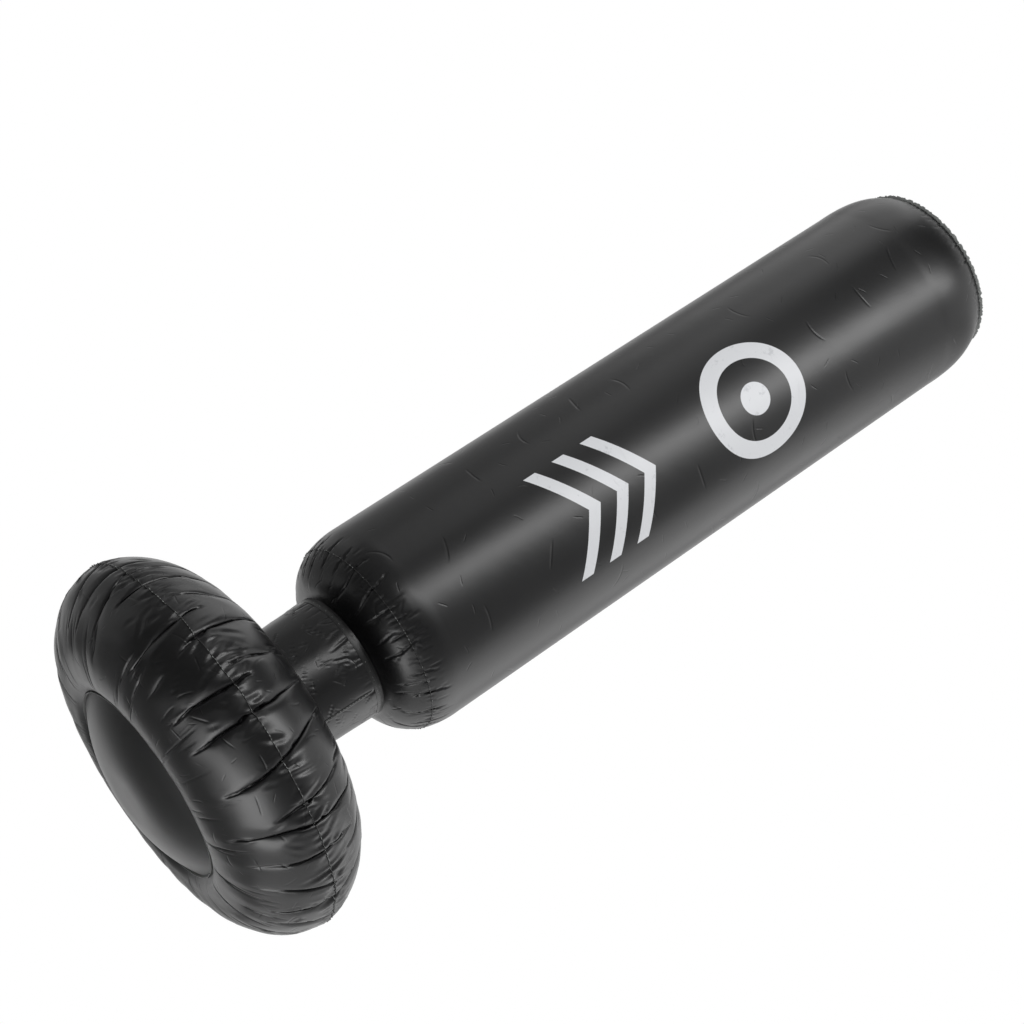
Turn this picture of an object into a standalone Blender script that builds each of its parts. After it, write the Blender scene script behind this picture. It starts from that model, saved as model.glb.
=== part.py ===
# Inflatable punching bag, standing upright on the flattened middle of its bottom.
# Metres, +Z up. The origin is on the bag's axis at the floor, and the front faces -Y.
# A welded film column stands on a soft neck, and the neck on a ring that holds water.

import math

import bmesh
import bpy

# Film and weld clearances
film = 0.0005                  # thickness of every sheet
gap = 0.0003                   # clearance between two pieces that touch
seam_thickness = 0.0012        # two sheets melted together
seam_overhang = 0.0040         # how far a welded rim stands out past the film
seam_inner_width = 0.0025      # how far a welded rim reaches inside the film
ring_steps = 40                # sides of the large turned pieces
small_steps = 24               # sides of the valve pieces

# Base: a ring chamber for water around an open core
base_radius = 0.292            # at the weld around the ring's widest line
crown_radius = 0.174           # where the ring is highest and lowest
ring_lift = 0.0275             # lowest line of the ring above the floor
ring_lower_height = 0.105      # widest line above the lowest line
ring_upper_height = 0.108      # crown above the widest line
ring_lower_power = 1.95        # roundness of the ring's section below and above
ring_upper_power = 1.76
neck_reach = 0.692             # where the neck cuts the ring's inner half, from crown to hole
disc_radius = 0.150            # weld of the bottom disc
disc_weld_rise = 0.008         # that weld above the ring's lowest line
foot_radius = 0.060            # flat patch that the bag stands on

# Neck
neck_low_radius = 0.092        # where the neck leaves the ring
neck_high_radius = 0.097       # where it meets the column
neck_weld_height = 0.371       # underside of the column at the neck
neck_band_width = 0.008
neck_pitch_height = 0.250      # the neck folds forwards and backwards here
neck_roll_height = 0.330       # and sideways here

# Column
column_radius = 0.160
shoulder_height = 0.100        # rounded lower end, from the neck weld up
shoulder_start_radius = 0.083  # where that round would reach the neck's plane
shoulder_power = 2.3
shoulder_seam_rise = 0.0445    # weld of the shoulder panel above the neck weld
top_seam_height = 1.564        # weld of the top panel
top_seam_radius = 0.1385
top_taper_height = 0.106       # the wall draws in over this height below that weld
top_taper_power = 3.4
top_dome_height = 0.032
strip_width = 0.008            # lengthwise weld of the wall and of the neck
column_strip_step = 13.5       # place of that weld, counted in sides of the ring
neck_strip_step = -5.5

# Water
water_drop = 0.006             # surface of the water below the ring's widest line
water_gap = 0.0011             # between the water's face and the film's outer face

# Air valve at the back of the column
valve_height = 0.560
valve_flange_radius = 0.016
valve_flange_thickness = 0.0010
stem_radius = 0.0065
stem_bore_radius = 0.0045
stem_outside = 0.0120          # length of stem outside the flange
stem_inside = 0.0040           # and inside the wall
web_width = 0.0027             # soft web between stem and flange
wall_hole_clearance = 0.0015
flap_thickness = 0.0006
plug_head_radius = 0.0075
plug_head_thickness = 0.0016
plug_shank_length = 0.0045
plug_shank_radius = 0.0042
plug_tip_radius = 0.0034
plug_hinge_drop = 0.0100       # swing axis below the valve's axis
strap_width = 0.0040
strap_thickness = 0.0008

# Water filler on the crown of the ring, at the back
filler_flange_radius = 0.0200
filler_flange_thickness = 0.0012
spout_radius = 0.0140
spout_bore_radius = 0.0105
spout_height = 0.0130
spout_depth = 0.0030
spout_wall = 0.0012            # wall of the spout below the flange
collar_width = 0.0030
collar_thickness = 0.0012
seal_width = 0.0029
seal_thickness = 0.0012
cap_clearance = 0.0008         # thread room between spout and cap
cap_wall = 0.0026
cap_top_thickness = 0.0025
cap_rib_count = 18
cap_rib_depth = 0.0009
cap_rib_width = 0.0016
knob_radius = 0.0050
knob_height = 0.0024
knob_head_radius = 0.0065
knob_head_height = 0.0010
eye_clearance = 0.0004
eye_width = 0.0036
eye_thickness = 0.0014
tether_thickness = 0.0010
tether_bend = 0.0020           # radius of the tether's two bends

# Heights and places that follow from the dimensions
ring_low = ring_lift
equator = ring_low + ring_lower_height
crown = equator + ring_upper_height
disc_weld = ring_low + disc_weld_rise
ring_half_width = base_radius - crown_radius
shoulder_top = neck_weld_height + shoulder_height
shoulder_seam_height = neck_weld_height + shoulder_seam_rise
taper_start = top_seam_height - top_taper_height
side_angle = 2 * math.pi / ring_steps
water_level = equator - water_drop
half_seam = seam_thickness / 2


def remove_startup_objects():
    for thing in list(bpy.data.objects):
        bpy.data.objects.remove(thing, do_unlink=True)


def new_collection(name):
    made = bpy.data.collections.new(name)
    bpy.context.scene.collection.children.link(made)
    return made


remove_startup_objects()
parts = new_collection("inflatable_punching_bag")
cutters = new_collection("cutters")


def material(name, color, roughness, transmission=0.0):
    made = bpy.data.materials.new(name)
    made.use_nodes = True
    shader = made.node_tree.nodes["Principled BSDF"]
    shader.inputs["Base Color"].default_value = (*color, 1.0)
    shader.inputs["Roughness"].default_value = roughness
    shader.inputs["Metallic"].default_value = 0.0
    shader.inputs["Transmission Weight"].default_value = transmission
    return made


black_film = material("black_film", (0.012, 0.012, 0.013), 0.34)
black_weld = material("black_weld", (0.022, 0.022, 0.024), 0.42)
valve_vinyl = material("valve_vinyl", (0.030, 0.030, 0.032), 0.38)
cap_plastic = material("cap_plastic", (0.020, 0.020, 0.022), 0.45)
seal_rubber = material("seal_rubber", (0.008, 0.008, 0.008), 0.75)
water_fill = material("water_fill", (0.55, 0.68, 0.72), 0.05, 0.9)


def body_empty(name, location):
    holder = bpy.data.objects.new(name, None)
    holder.empty_display_size = 0.05
    holder.location = location
    parts.objects.link(holder)
    return holder


def add_mesh_object(name, mesh, finish, holder=None, location=(0, 0, 0), rotation=(0, 0, 0)):
    """Link a mesh as a piece at a world place, carried by its body's empty."""
    piece = bpy.data.objects.new(name, mesh)
    parts.objects.link(piece)
    if finish:
        mesh.materials.append(finish)
    piece.rotation_euler = rotation
    piece.parent = holder
    start = holder.location if holder else (0, 0, 0)
    piece.location = [place - offset for place, offset in zip(location, start)]
    return piece


def add_screw(piece, steps):
    turn = piece.modifiers.new("turn", "SCREW")
    turn.axis = "Z"
    turn.angle = 2 * math.pi
    turn.steps = steps
    turn.render_steps = steps
    turn.use_merge_vertices = True
    turn.merge_threshold = 0.00001
    turn.use_smooth_shade = True


def line_mesh(name, points, closed):
    mesh = bpy.data.meshes.new(name)
    count = len(points)
    links = [(i, i + 1) for i in range(count - 1)]
    if closed:
        links.append((count - 1, 0))
    mesh.from_pydata([(r, 0, z) for r, z in points], links, [])
    return mesh


def turned_sheet(name, points, finish, holder=None, steps=ring_steps, **place):
    """A sheet of film turned from its outer line, which runs from top to bottom."""
    piece = add_mesh_object(name, line_mesh(name, points, False), finish, holder, **place)
    add_screw(piece, steps)
    wall = piece.modifiers.new("film", "SOLIDIFY")
    wall.thickness = film
    wall.offset = -1
    wall.use_even_offset = True
    return piece


def turned_solid(name, points, finish, holder=None, steps=small_steps, **place):
    """A turned solid. The outline runs down its outer side and back up inside."""
    closed = points[0][0] > 0 or points[-1][0] > 0
    piece = add_mesh_object(name, line_mesh(name, points, closed), finish, holder, **place)
    add_screw(piece, steps)
    return piece


def turned_ring(name, inner, outer, low, high, finish, holder=None, steps=small_steps, **place):
    outline = [(inner, high), (outer, high), (outer, low), (inner, low)]
    return turned_solid(name, outline, finish, holder, steps, **place)


def cut(piece, radius, length, location, rotation=(0, 0, 0)):
    """Drill a round hole through a sheet."""
    mesh = bpy.data.meshes.new(piece.name + "_hole")
    drill = bmesh.new()
    bmesh.ops.create_cone(drill, cap_ends=True, segments=small_steps, radius1=radius,
                          radius2=radius, depth=length)
    drill.to_mesh(mesh)
    drill.free()
    cutter = bpy.data.objects.new(piece.name + "_hole", mesh)
    cutters.objects.link(cutter)
    cutter.location = location
    cutter.rotation_euler = rotation
    cutter.hide_render = True
    cutter.display_type = "WIRE"
    hole = piece.modifiers.new("hole", "BOOLEAN")
    hole.object = cutter
    hole.operation = "DIFFERENCE"
    hole.solver = "EXACT"


def superellipse(share, power):
    """Height left, from 1 to 0, at a share of the half width."""
    return (1 - share ** power) ** (1 / power)


def steps_between(start, end, count):
    return [start + (end - start) * i / count for i in range(count + 1)]


def ring_section(angle, height, power):
    """A point of the ring's section: 0 is the widest line and 90 degrees the crown."""
    share = math.sin(angle)
    return crown_radius + ring_half_width * superellipse(share, power), share * height


def ring_upper_height_at(radius):
    """Height of the ring's inner slope, between its crown and the neck."""
    inner_half_width = (crown_radius - neck_low_radius) / neck_reach
    share = (crown_radius - radius) / inner_half_width
    return equator + ring_upper_height * superellipse(share, ring_upper_power)


def base_upper_line():
    """From the inner edge at the neck, over the crown, down to the widest line."""
    inner_edge = neck_low_radius + gap
    points = [(r, ring_upper_height_at(r)) for r in steps_between(inner_edge, crown_radius, 5)]
    for angle in steps_between(math.radians(80), math.radians(12), 7):
        radius, rise = ring_section(angle, ring_upper_height, ring_upper_power)
        points.append((radius, equator + rise))
    points.append((base_radius, equator + half_seam + gap))
    return points


def base_lower_line(inset=0.0):
    """From the widest line down to the lowest line and up to the disc's weld."""
    points = [(base_radius - inset, equator - half_seam - gap)]
    for angle in steps_between(math.radians(12), math.radians(84), 6):
        radius, drop = ring_section(angle, ring_lower_height, ring_lower_power)
        shrink = 1 - inset / ring_lower_height
        points.append((crown_radius + (radius - crown_radius) * shrink, equator - drop * shrink))
    inner_edge = disc_radius + gap + inset
    for radius in steps_between(crown_radius, inner_edge, 3):
        share = (crown_radius - radius) / (crown_radius - disc_radius)
        points.append((radius, ring_low + inset + disc_weld_rise * share ** 2))
    return points


neck_foot = ring_upper_height_at(neck_low_radius + gap)


def neck_radius_at(height):
    share = (height - neck_foot) / (neck_weld_height - neck_foot)
    return neck_low_radius + (neck_high_radius - neck_low_radius) * share


def core_radius_at(height):
    share = (neck_foot - height) / (neck_foot - disc_weld)
    return neck_low_radius + (disc_radius - 2 * seam_inner_width - neck_low_radius) * share


def disc_line():
    """The bottom disc: a round dome whose middle is flattened by the floor."""
    edge = disc_radius - gap
    middle = (edge ** 2 - foot_radius ** 2 + disc_weld ** 2) / (2 * disc_weld)
    dome = math.hypot(foot_radius, middle)
    points = [(r, middle - math.sqrt(dome ** 2 - r ** 2)) for r in steps_between(edge, foot_radius, 4)]
    return points + [(0, 0)]


def shoulder_radius_at(height):
    share = (shoulder_top - height) / shoulder_height
    width = column_radius - shoulder_start_radius
    return shoulder_start_radius + width * superellipse(share, shoulder_power)


def shoulder_line():
    """Underside of the column, from its weld in to the neck."""
    high = shoulder_seam_height - half_seam - gap
    inner_edge = neck_high_radius + gap
    points = [(shoulder_radius_at(z), z) for z in steps_between(high, neck_weld_height + 0.004, 3)]
    return points + [(inner_edge, neck_weld_height)]


def column_line():
    """The column's wall, from the top weld down to the shoulder weld."""
    high = top_seam_height - half_seam - gap
    low = shoulder_seam_height + half_seam + gap
    points = []
    for share in (1.0, 0.9, 0.78, 0.62, 0.42, 0.2):
        drawn_in = (column_radius - top_seam_radius) * share ** top_taper_power
        points.append((column_radius - drawn_in, taper_start + (high - taper_start) * share))
    points.append((column_radius, taper_start))
    for height in steps_between(shoulder_top, low, 3):
        points.append((shoulder_radius_at(height), height))
    return points


def top_line():
    """The top panel, from its middle down to its weld."""
    edge_height = top_seam_height + half_seam + gap
    points = []
    for angle in steps_between(math.radians(90), 0, 6):
        points.append((top_seam_radius * math.cos(angle) * (angle < 1.5),
                       edge_height + top_dome_height * math.sin(angle)))
    return points


def make_base():
    upper = turned_sheet("base_upper_panel", base_upper_line(), black_film)
    hole_radius = spout_bore_radius + spout_wall + gap
    cut(upper, hole_radius, 0.02, (0, crown_radius, crown))
    turned_sheet("base_lower_panel", base_lower_line(), black_film)
    turned_ring("base_equator_seam", base_radius - seam_inner_width, base_radius + seam_overhang,
                equator - half_seam, equator + half_seam, black_weld, steps=ring_steps)
    turned_sheet("bottom_disc", disc_line(), black_film)
    seam_low = disc_weld + film + 2 * gap
    turned_ring("bottom_disc_seam", disc_radius - 2 * seam_inner_width,
                disc_radius + seam_inner_width, seam_low, seam_low + seam_thickness, black_weld,
                steps=ring_steps)
    core_top = neck_foot - seam_overhang - gap
    core_low = seam_low + seam_thickness + gap
    core = [(core_radius_at(z), z) for z in (core_top, core_low)]
    turned_sheet("base_core_tube", core, black_film)
    band_low = neck_foot + seam_overhang
    make_neck_band("neck_lower_seam", band_low, None)


def make_neck_band(name, low, holder):
    """Welded band round the neck, leaning as the neck does."""
    high = low + neck_band_width
    clear = gap / math.cos(side_angle / 2)
    outline = [(neck_radius_at(high) + clear, high), (neck_radius_at(high) + clear + seam_thickness, high),
               (neck_radius_at(low) + clear + seam_thickness, low), (neck_radius_at(low) + clear, low)]
    turned_solid(name, outline, black_weld, holder, ring_steps)


def make_water():
    """Water in the ring, filled to just below the widest line."""
    outer = [p for p in base_lower_line(water_gap) if p[1] < water_level]
    shrink = 1 - water_gap / ring_lower_height
    share = (equator - water_level) / (ring_lower_height * shrink)
    surface_radius = crown_radius + ring_half_width * shrink * superellipse(share, ring_lower_power)
    core_foot = disc_weld + film + seam_thickness + 4 * gap
    inner = [(outer[-2][0], core_foot), (core_radius_at(core_foot) + water_gap, core_foot),
             (core_radius_at(water_level) + water_gap, water_level)]
    turned_solid("water_ballast", [(surface_radius, water_level)] + outer[:-1] + inner, water_fill,
                 steps=ring_steps)


def flat_strip(name, low, high, angle, holder):
    """A lengthwise weld, laid on one flat side of a turned sheet."""
    length = math.dist(low, high)
    lean = math.atan2(high[0] - low[0], high[1] - low[1])
    middle = [(a + b) / 2 for a, b in zip(low, high)]
    radius = middle[0] * math.cos(side_angle / 2) + (gap + seam_thickness / 2) / math.cos(lean)
    mesh = bpy.data.meshes.new(name)
    block = bmesh.new()
    bmesh.ops.create_cube(block, size=1)
    bmesh.ops.scale(block, vec=(seam_thickness, strip_width, length), verts=block.verts)
    block.to_mesh(mesh)
    block.free()
    place = (radius * math.cos(angle), radius * math.sin(angle), middle[1])
    add_mesh_object(name, mesh, black_weld, holder, place, (0, lean, angle))


def make_neck():
    sleeve_low = neck_foot - seam_overhang
    sleeve_high = neck_weld_height + seam_overhang
    line = [(neck_radius_at(z), z) for z in steps_between(sleeve_high, sleeve_low, 4)]
    turned_sheet("neck_sleeve", line, black_film, neck_body)
    clear = seam_overhang + neck_band_width + 2 * gap
    low = neck_foot + clear
    high = neck_weld_height - clear
    flat_strip("neck_side_seam", (neck_radius_at(low), low), (neck_radius_at(high), high),
               neck_strip_step * side_angle, neck_body)


def make_column():
    wall = turned_sheet("column_wall", column_line(), black_film, column_body)
    hole_radius = stem_radius + wall_hole_clearance
    cut(wall, hole_radius, 0.02, (0, column_radius, valve_height), (math.pi / 2, 0, 0))
    turned_sheet("column_top_panel", top_line(), black_film, column_body)
    turned_ring("column_top_seam", top_seam_radius - seam_inner_width, top_seam_radius + seam_overhang,
                top_seam_height - half_seam, top_seam_height + half_seam, black_weld, column_body,
                ring_steps)
    turned_sheet("column_shoulder_panel", shoulder_line(), black_film, column_body)
    weld_radius = shoulder_radius_at(shoulder_seam_height)
    turned_ring("column_shoulder_seam", weld_radius - seam_inner_width, weld_radius + seam_overhang,
                shoulder_seam_height - half_seam, shoulder_seam_height + half_seam, black_weld,
                column_body, ring_steps)
    make_neck_band("neck_upper_seam", neck_weld_height - seam_overhang - neck_band_width, column_body)
    flat_strip("column_side_seam", (column_radius, shoulder_top + gap), (column_radius, taper_start - gap),
               column_strip_step * side_angle, column_body)


def bent_strap(name, middle_line, thickness, width, finish, location, rotation, holder=None):
    """A strap: its middle line pulled out to the strap's width, then thickened."""
    mesh = bpy.data.meshes.new(name)
    ribbon = bmesh.new()
    line = [ribbon.verts.new((u, v, -width / 2)) for u, v in middle_line]
    edges = [ribbon.edges.new(pair) for pair in zip(line, line[1:])]
    pulled = bmesh.ops.extrude_edge_only(ribbon, edges=edges)["geom"]
    far_side = [item for item in pulled if isinstance(item, bmesh.types.BMVert)]
    bmesh.ops.translate(ribbon, vec=(0, 0, width), verts=far_side)
    ribbon.to_mesh(mesh)
    ribbon.free()
    strap = add_mesh_object(name, mesh, finish, holder, location, rotation)
    wall = strap.modifiers.new("thickness", "SOLIDIFY")
    wall.thickness = thickness
    wall.offset = 0
    wall.use_even_offset = True


def bend(center, radius, start, end, count=6):
    angles = steps_between(math.radians(start), math.radians(end), count)
    return [(center[0] + radius * math.cos(a), center[1] + radius * math.sin(a)) for a in angles]


# A valve piece is turned about its own Z, which this rotation lays along +Y.
outward = (-math.pi / 2, 0, 0)
flange_face = column_radius + gap                      # inner face of the valve's flange
mouth = flange_face + valve_flange_thickness + stem_outside
stem_back = column_radius - stem_inside
flap_drop = stem_radius


def make_air_valve():
    seat = (0, flange_face, valve_height)
    flange_inner = stem_radius + web_width + 2 * gap
    turned_ring("air_valve_flange", flange_inner, valve_flange_radius, 0, valve_flange_thickness,
                valve_vinyl, column_body, location=seat, rotation=outward)
    clear = gap / math.cos(math.pi / small_steps)
    turned_ring("air_valve_web", stem_radius + clear, flange_inner - clear, 0.0002,
                valve_flange_thickness - 0.0002, valve_vinyl, stem_body, location=seat, rotation=outward)
    turned_ring("air_valve_stem", stem_bore_radius, stem_radius, 0, mouth - stem_back, valve_vinyl,
                stem_body, location=(0, stem_back, valve_height), rotation=outward)
    turned_solid("air_valve_flap", [(0, 0), (stem_radius - gap, 0), (stem_radius - gap, -flap_thickness),
                                    (0, -flap_thickness)], seal_rubber, flap_body,
                 location=(0, stem_back - gap, valve_height), rotation=outward)
    head = plug_head_thickness
    outline = [(0, head), (plug_head_radius, head), (plug_head_radius, 0), (plug_shank_radius, 0),
               (plug_tip_radius, -plug_shank_length), (0, -plug_shank_length)]
    turned_solid("air_valve_plug", outline, valve_vinyl, plug_body,
                 location=(0, mouth + gap, valve_height), rotation=outward)
    # The strap leaves the plug's rim, turns back around the swing axis and ends on the stem.
    loop = 0.0028
    leg = plug_head_thickness / 2 + gap
    turn = -(plug_head_radius + loop * 0.75)
    line = [(-(plug_head_radius + gap), leg)] + bend((turn, leg - loop), loop, 90, 270)
    line.append((-(stem_radius + gap), leg - 2 * loop))
    bent_strap("air_valve_strap", line, strap_thickness, strap_width, valve_vinyl,
               (0, mouth, valve_height), (0, -math.pi / 2, 0), stem_body)


flange_top = crown + gap + filler_flange_thickness
rim = flange_top + spout_height
cap_under = rim + seal_thickness + 2 * gap
cap_top = cap_under + cap_top_thickness
cap_inner_radius = spout_radius + cap_clearance
cap_radius = cap_inner_radius + cap_wall
skirt_low = flange_top + collar_thickness + 3 * gap
eye_low = cap_top + gap


def make_filler():
    place = {"location": (0, crown_radius, 0)}
    low_radius = spout_bore_radius + spout_wall
    outline = [(spout_bore_radius, rim), (spout_radius, rim), (spout_radius, flange_top),
               (filler_flange_radius, flange_top), (filler_flange_radius, crown + gap),
               (low_radius, crown + gap), (low_radius, crown - spout_depth),
               (spout_bore_radius, crown - spout_depth)]
    turned_solid("filler_spout", outline, valve_vinyl, **place)
    clear = gap / math.cos(math.pi / small_steps)
    turned_ring("filler_tether_collar", spout_radius + clear, spout_radius + clear + collar_width,
                flange_top + gap, flange_top + gap + collar_thickness, valve_vinyl, **place)
    seal_inner = spout_bore_radius + gap
    turned_ring("filler_seal", seal_inner, seal_inner + seal_width, rim + gap,
                rim + gap + seal_thickness, seal_rubber, **place)
    make_cap(place)
    eye_inner = knob_radius + eye_clearance
    turned_ring("filler_tether_eye", eye_inner, eye_inner + eye_width, eye_low,
                eye_low + eye_thickness, valve_vinyl, lift_body, **place)
    # The tether runs over the cap's edge and down to the collar, on the +X side.
    turn = tether_bend
    outer = cap_radius + cap_rib_depth + tether_thickness
    high = eye_low + eye_thickness / 2
    low = flange_top + gap + collar_thickness / 2
    line = [(eye_inner + eye_width + gap, high)]
    line += bend((outer - turn + tether_thickness, high - turn), turn, 90, 0, 4)
    line += bend((outer - turn + tether_thickness, low + turn), turn, 0, -90, 4)
    line.append((spout_radius + clear + collar_width + gap, low))
    bent_strap("filler_tether_strap", line, tether_thickness, strap_width, valve_vinyl,
               (0, crown_radius, 0), (math.pi / 2, 0, 0))


def make_cap(place):
    outline = [(0, cap_top + knob_height + knob_head_height),
               (knob_head_radius, cap_top + knob_height + knob_head_height),
               (knob_head_radius, cap_top + knob_height), (knob_radius, cap_top + knob_height),
               (knob_radius, cap_top), (cap_radius, cap_top), (cap_radius, skirt_low),
               (cap_inner_radius, skirt_low), (cap_inner_radius, cap_under), (0, cap_under)]
    cap = turned_solid("filler_cap", outline, cap_plastic, cap_body, **place)
    mesh = bpy.data.meshes.new("cap_ribs")
    ribs = bmesh.new()
    height = cap_top - skirt_low - 4 * cap_rib_depth
    root = cap_wall / 2
    for i in range(cap_rib_count):
        angle = 2 * math.pi * i / cap_rib_count
        rib = bmesh.ops.create_cube(ribs, size=1)["verts"]
        bmesh.ops.scale(ribs, vec=(root + cap_rib_depth, cap_rib_width, height), verts=rib)
        middle = cap_radius + (cap_rib_depth - root) / 2
        bmesh.ops.translate(ribs, vec=(middle, 0, (cap_top + skirt_low) / 2), verts=rib)
        turn = [(v, v.co.x, v.co.y) for v in rib]
        for vertex, x, y in turn:
            vertex.co.x = x * math.cos(angle) - y * math.sin(angle)
            vertex.co.y = x * math.sin(angle) + y * math.cos(angle)
    ribs.to_mesh(mesh)
    ribs.free()
    cutter = bpy.data.objects.new("cap_ribs", mesh)
    cutters.objects.link(cutter)
    cutter.location = place["location"]
    cutter.hide_render = True
    cutter.display_type = "WIRE"
    union = cap.modifiers.new("ribs", "BOOLEAN")
    union.object = cutter
    union.operation = "UNION"
    union.solver = "EXACT"


neck_body = body_empty("neck_pitch_axis", (0, 0, neck_pitch_height))
column_body = body_empty("neck_roll_axis", (0, 0, neck_roll_height))
stem_body = body_empty("air_valve_push_axis", (0, mouth, valve_height))
plug_body = body_empty("air_plug_swing_axis", (0, mouth, valve_height - plug_hinge_drop))
flap_body = body_empty("air_flap_swing_axis", (0, stem_back - gap - flap_thickness / 2,
                                               valve_height + flap_drop))
lift_body = body_empty("filler_lift_axis", (0, crown_radius, cap_top))
cap_body = body_empty("filler_spin_axis", (0, crown_radius, cap_top))

make_base()
make_water()
make_neck()
make_column()
make_air_valve()
make_filler()
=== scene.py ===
# %% [markdown]
# # An inflatable punching bag, dressed on its CAD frame
# The CAD model gives the sizes and the joints. This script gives each sheet of film its
# pleats, puckers and creases, its welds and its finish, and stands the bag in a plain studio.

import math
import time

import bmesh
import bpy
import numpy as np
from mathutils import Matrix, Quaternion, Vector


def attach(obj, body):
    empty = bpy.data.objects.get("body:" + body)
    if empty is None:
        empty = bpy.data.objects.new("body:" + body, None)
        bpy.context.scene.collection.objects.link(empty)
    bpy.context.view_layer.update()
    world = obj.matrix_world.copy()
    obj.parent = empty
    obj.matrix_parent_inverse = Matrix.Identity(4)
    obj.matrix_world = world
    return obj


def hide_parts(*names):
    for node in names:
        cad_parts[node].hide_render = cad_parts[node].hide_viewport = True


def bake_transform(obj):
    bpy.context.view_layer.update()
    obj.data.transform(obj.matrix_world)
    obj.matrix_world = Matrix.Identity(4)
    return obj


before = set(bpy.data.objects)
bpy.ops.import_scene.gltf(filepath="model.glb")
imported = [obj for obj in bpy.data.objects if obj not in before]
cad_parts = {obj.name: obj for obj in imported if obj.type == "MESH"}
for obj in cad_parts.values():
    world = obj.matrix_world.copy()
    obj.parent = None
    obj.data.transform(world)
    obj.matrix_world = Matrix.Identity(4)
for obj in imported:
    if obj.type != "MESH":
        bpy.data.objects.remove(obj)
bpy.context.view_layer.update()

# %% [markdown]
# ## Sizes
# The film pieces repeat the outlines of the CAD sheets, so the same named sizes come first.
# All are in metres, and +Z runs up the bag.

# %% Sizes of the bag
base_radius = 0.292
crown_radius = 0.174
ring_low = 0.0275
ring_lower_height = 0.105
ring_upper_height = 0.108
ring_lower_power = 1.95
ring_upper_power = 1.76
neck_reach = 0.692
disc_radius = 0.150
disc_weld = 0.0355
foot_radius = 0.035                      # the film lifts off the floor softly from here
equator = ring_low + ring_lower_height
crown = equator + ring_upper_height
neck_low_radius = 0.092
neck_high_radius = 0.097
neck_weld_height = 0.371
column_radius = 0.160
shoulder_height = 0.100
shoulder_start_radius = 0.083
shoulder_power = 2.3
shoulder_seam_height = 0.4155
shoulder_top = neck_weld_height + shoulder_height
top_seam_height = 1.564
top_seam_radius = 0.1385
top_taper_height = 0.106
top_taper_power = 3.4
top_dome_height = 0.032
film_thickness = 0.0004
full_turn = 2 * math.pi
front = 1.5 * math.pi                    # the bag's front faces -Y
print("widest line at", equator, "crown at", crown)

# %% [markdown]
# ## Camera
# The photograph looks up at the bag from below its foot, with the camera turned so that the
# bag leans to the upper right. The place and the turn come from matching the bag's outline.

# %% Camera
camera_place = Vector((0.0, -3.0867, -0.6657))
camera_aim = Vector((-0.0384, 0.0, 0.7188))
camera_turn = math.radians(56.69)
camera_data = bpy.data.cameras.new("photo_camera")
camera_data.lens = 79.38
camera_data.sensor_width = 36
camera_data.clip_start = 0.05
camera = bpy.data.objects.new("photo_camera", camera_data)
bpy.context.scene.collection.objects.link(camera)
camera.location = camera_place
camera.rotation_mode = "QUATERNION"
gaze = (camera_aim - camera_place).to_track_quat("-Z", "Y")
camera.rotation_quaternion = gaze @ Quaternion((0, 0, 1), camera_turn)
bpy.context.scene.camera = camera
bpy.context.scene.view_settings.view_transform = "Standard"

# %% [markdown]
# ## Light
# Black film shows its shape by what it mirrors, so the studio is built as something to
# mirror. One long softbox, leaning to the right, draws the band along the column. A large
# soft one at each side lights the rims.

# %% Lamps
def softbox(name, place, aim, long_way, width, length, watts):
    """A rectangular lamp at place, facing aim, with its long side along long_way."""
    lamp = bpy.data.lights.new(name, "AREA")
    lamp.shape = "RECTANGLE"
    lamp.size = width
    lamp.size_y = length
    lamp.energy = watts
    holder = bpy.data.objects.new(name, lamp)
    bpy.context.scene.collection.objects.link(holder)
    back = (Vector(place) - Vector(aim)).normalized()
    along = Vector(long_way) - back * Vector(long_way).dot(back)
    along.normalize()
    side = along.cross(back)
    turn = Matrix((side, along, back)).transposed()
    holder.matrix_world = Matrix.Translation(place) @ turn.to_4x4()
    holder.visible_camera = False
    print(name, "at", tuple(place))

softbox("long_softbox", (0.18, -2.9, 2.28), (0, 0, 0.95), (0.62, 0, 0.79), 0.55, 4.0, watts=68)
softbox("left_softbox", (-2.4, 0.4, 3.6), (0, 0, 1.1), (0, 1, 0), 2.0, 3.0, watts=15)
softbox("right_softbox", (2.8, 0.8, 1.8), (0, 0, 0.8), (0, 0, 1), 2.4, 2.6, watts=22)

# %% [markdown]
# The world has two strengths. The camera and the mirrored rays see plain white, as in the
# photograph. The light that falls on the bag is weaker, so the white doesn't wash it out.

# %% World
seen_strength, lit_strength = 1.0, 0.36

def new_world():
    world = bpy.data.worlds.new("studio")
    world.use_nodes = True
    bpy.context.scene.world = world
    nodes, links = world.node_tree.nodes, world.node_tree.links
    nodes.clear()
    ray = nodes.new("ShaderNodeLightPath")
    seen_by = ray.outputs["Is Camera Ray"]
    for label in ("Is Glossy Ray", "Is Transmission Ray"):
        most = nodes.new("ShaderNodeMath")
        most.operation = "MAXIMUM"
        links.new(seen_by, most.inputs[0])
        links.new(ray.outputs[label], most.inputs[1])
        seen_by = most.outputs[0]
    pick = nodes.new("ShaderNodeMixShader")
    links.new(seen_by, pick.inputs["Fac"])
    for socket, strength in ((1, lit_strength), (2, seen_strength)):
        white = nodes.new("ShaderNodeBackground")
        white.inputs["Color"].default_value = (1, 1, 1, 1)
        white.inputs["Strength"].default_value = strength
        links.new(white.outputs[0], pick.inputs[socket])
    links.new(pick.outputs[0], nodes.new("ShaderNodeOutputWorld").inputs["Surface"])

new_world()

# %% [markdown]
# ## Small helpers for node trees
# A material is a sum of small steps. These helpers add one node each and hand back its
# output, so a formula reads from left to right. A value may be a number or another output.

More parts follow.
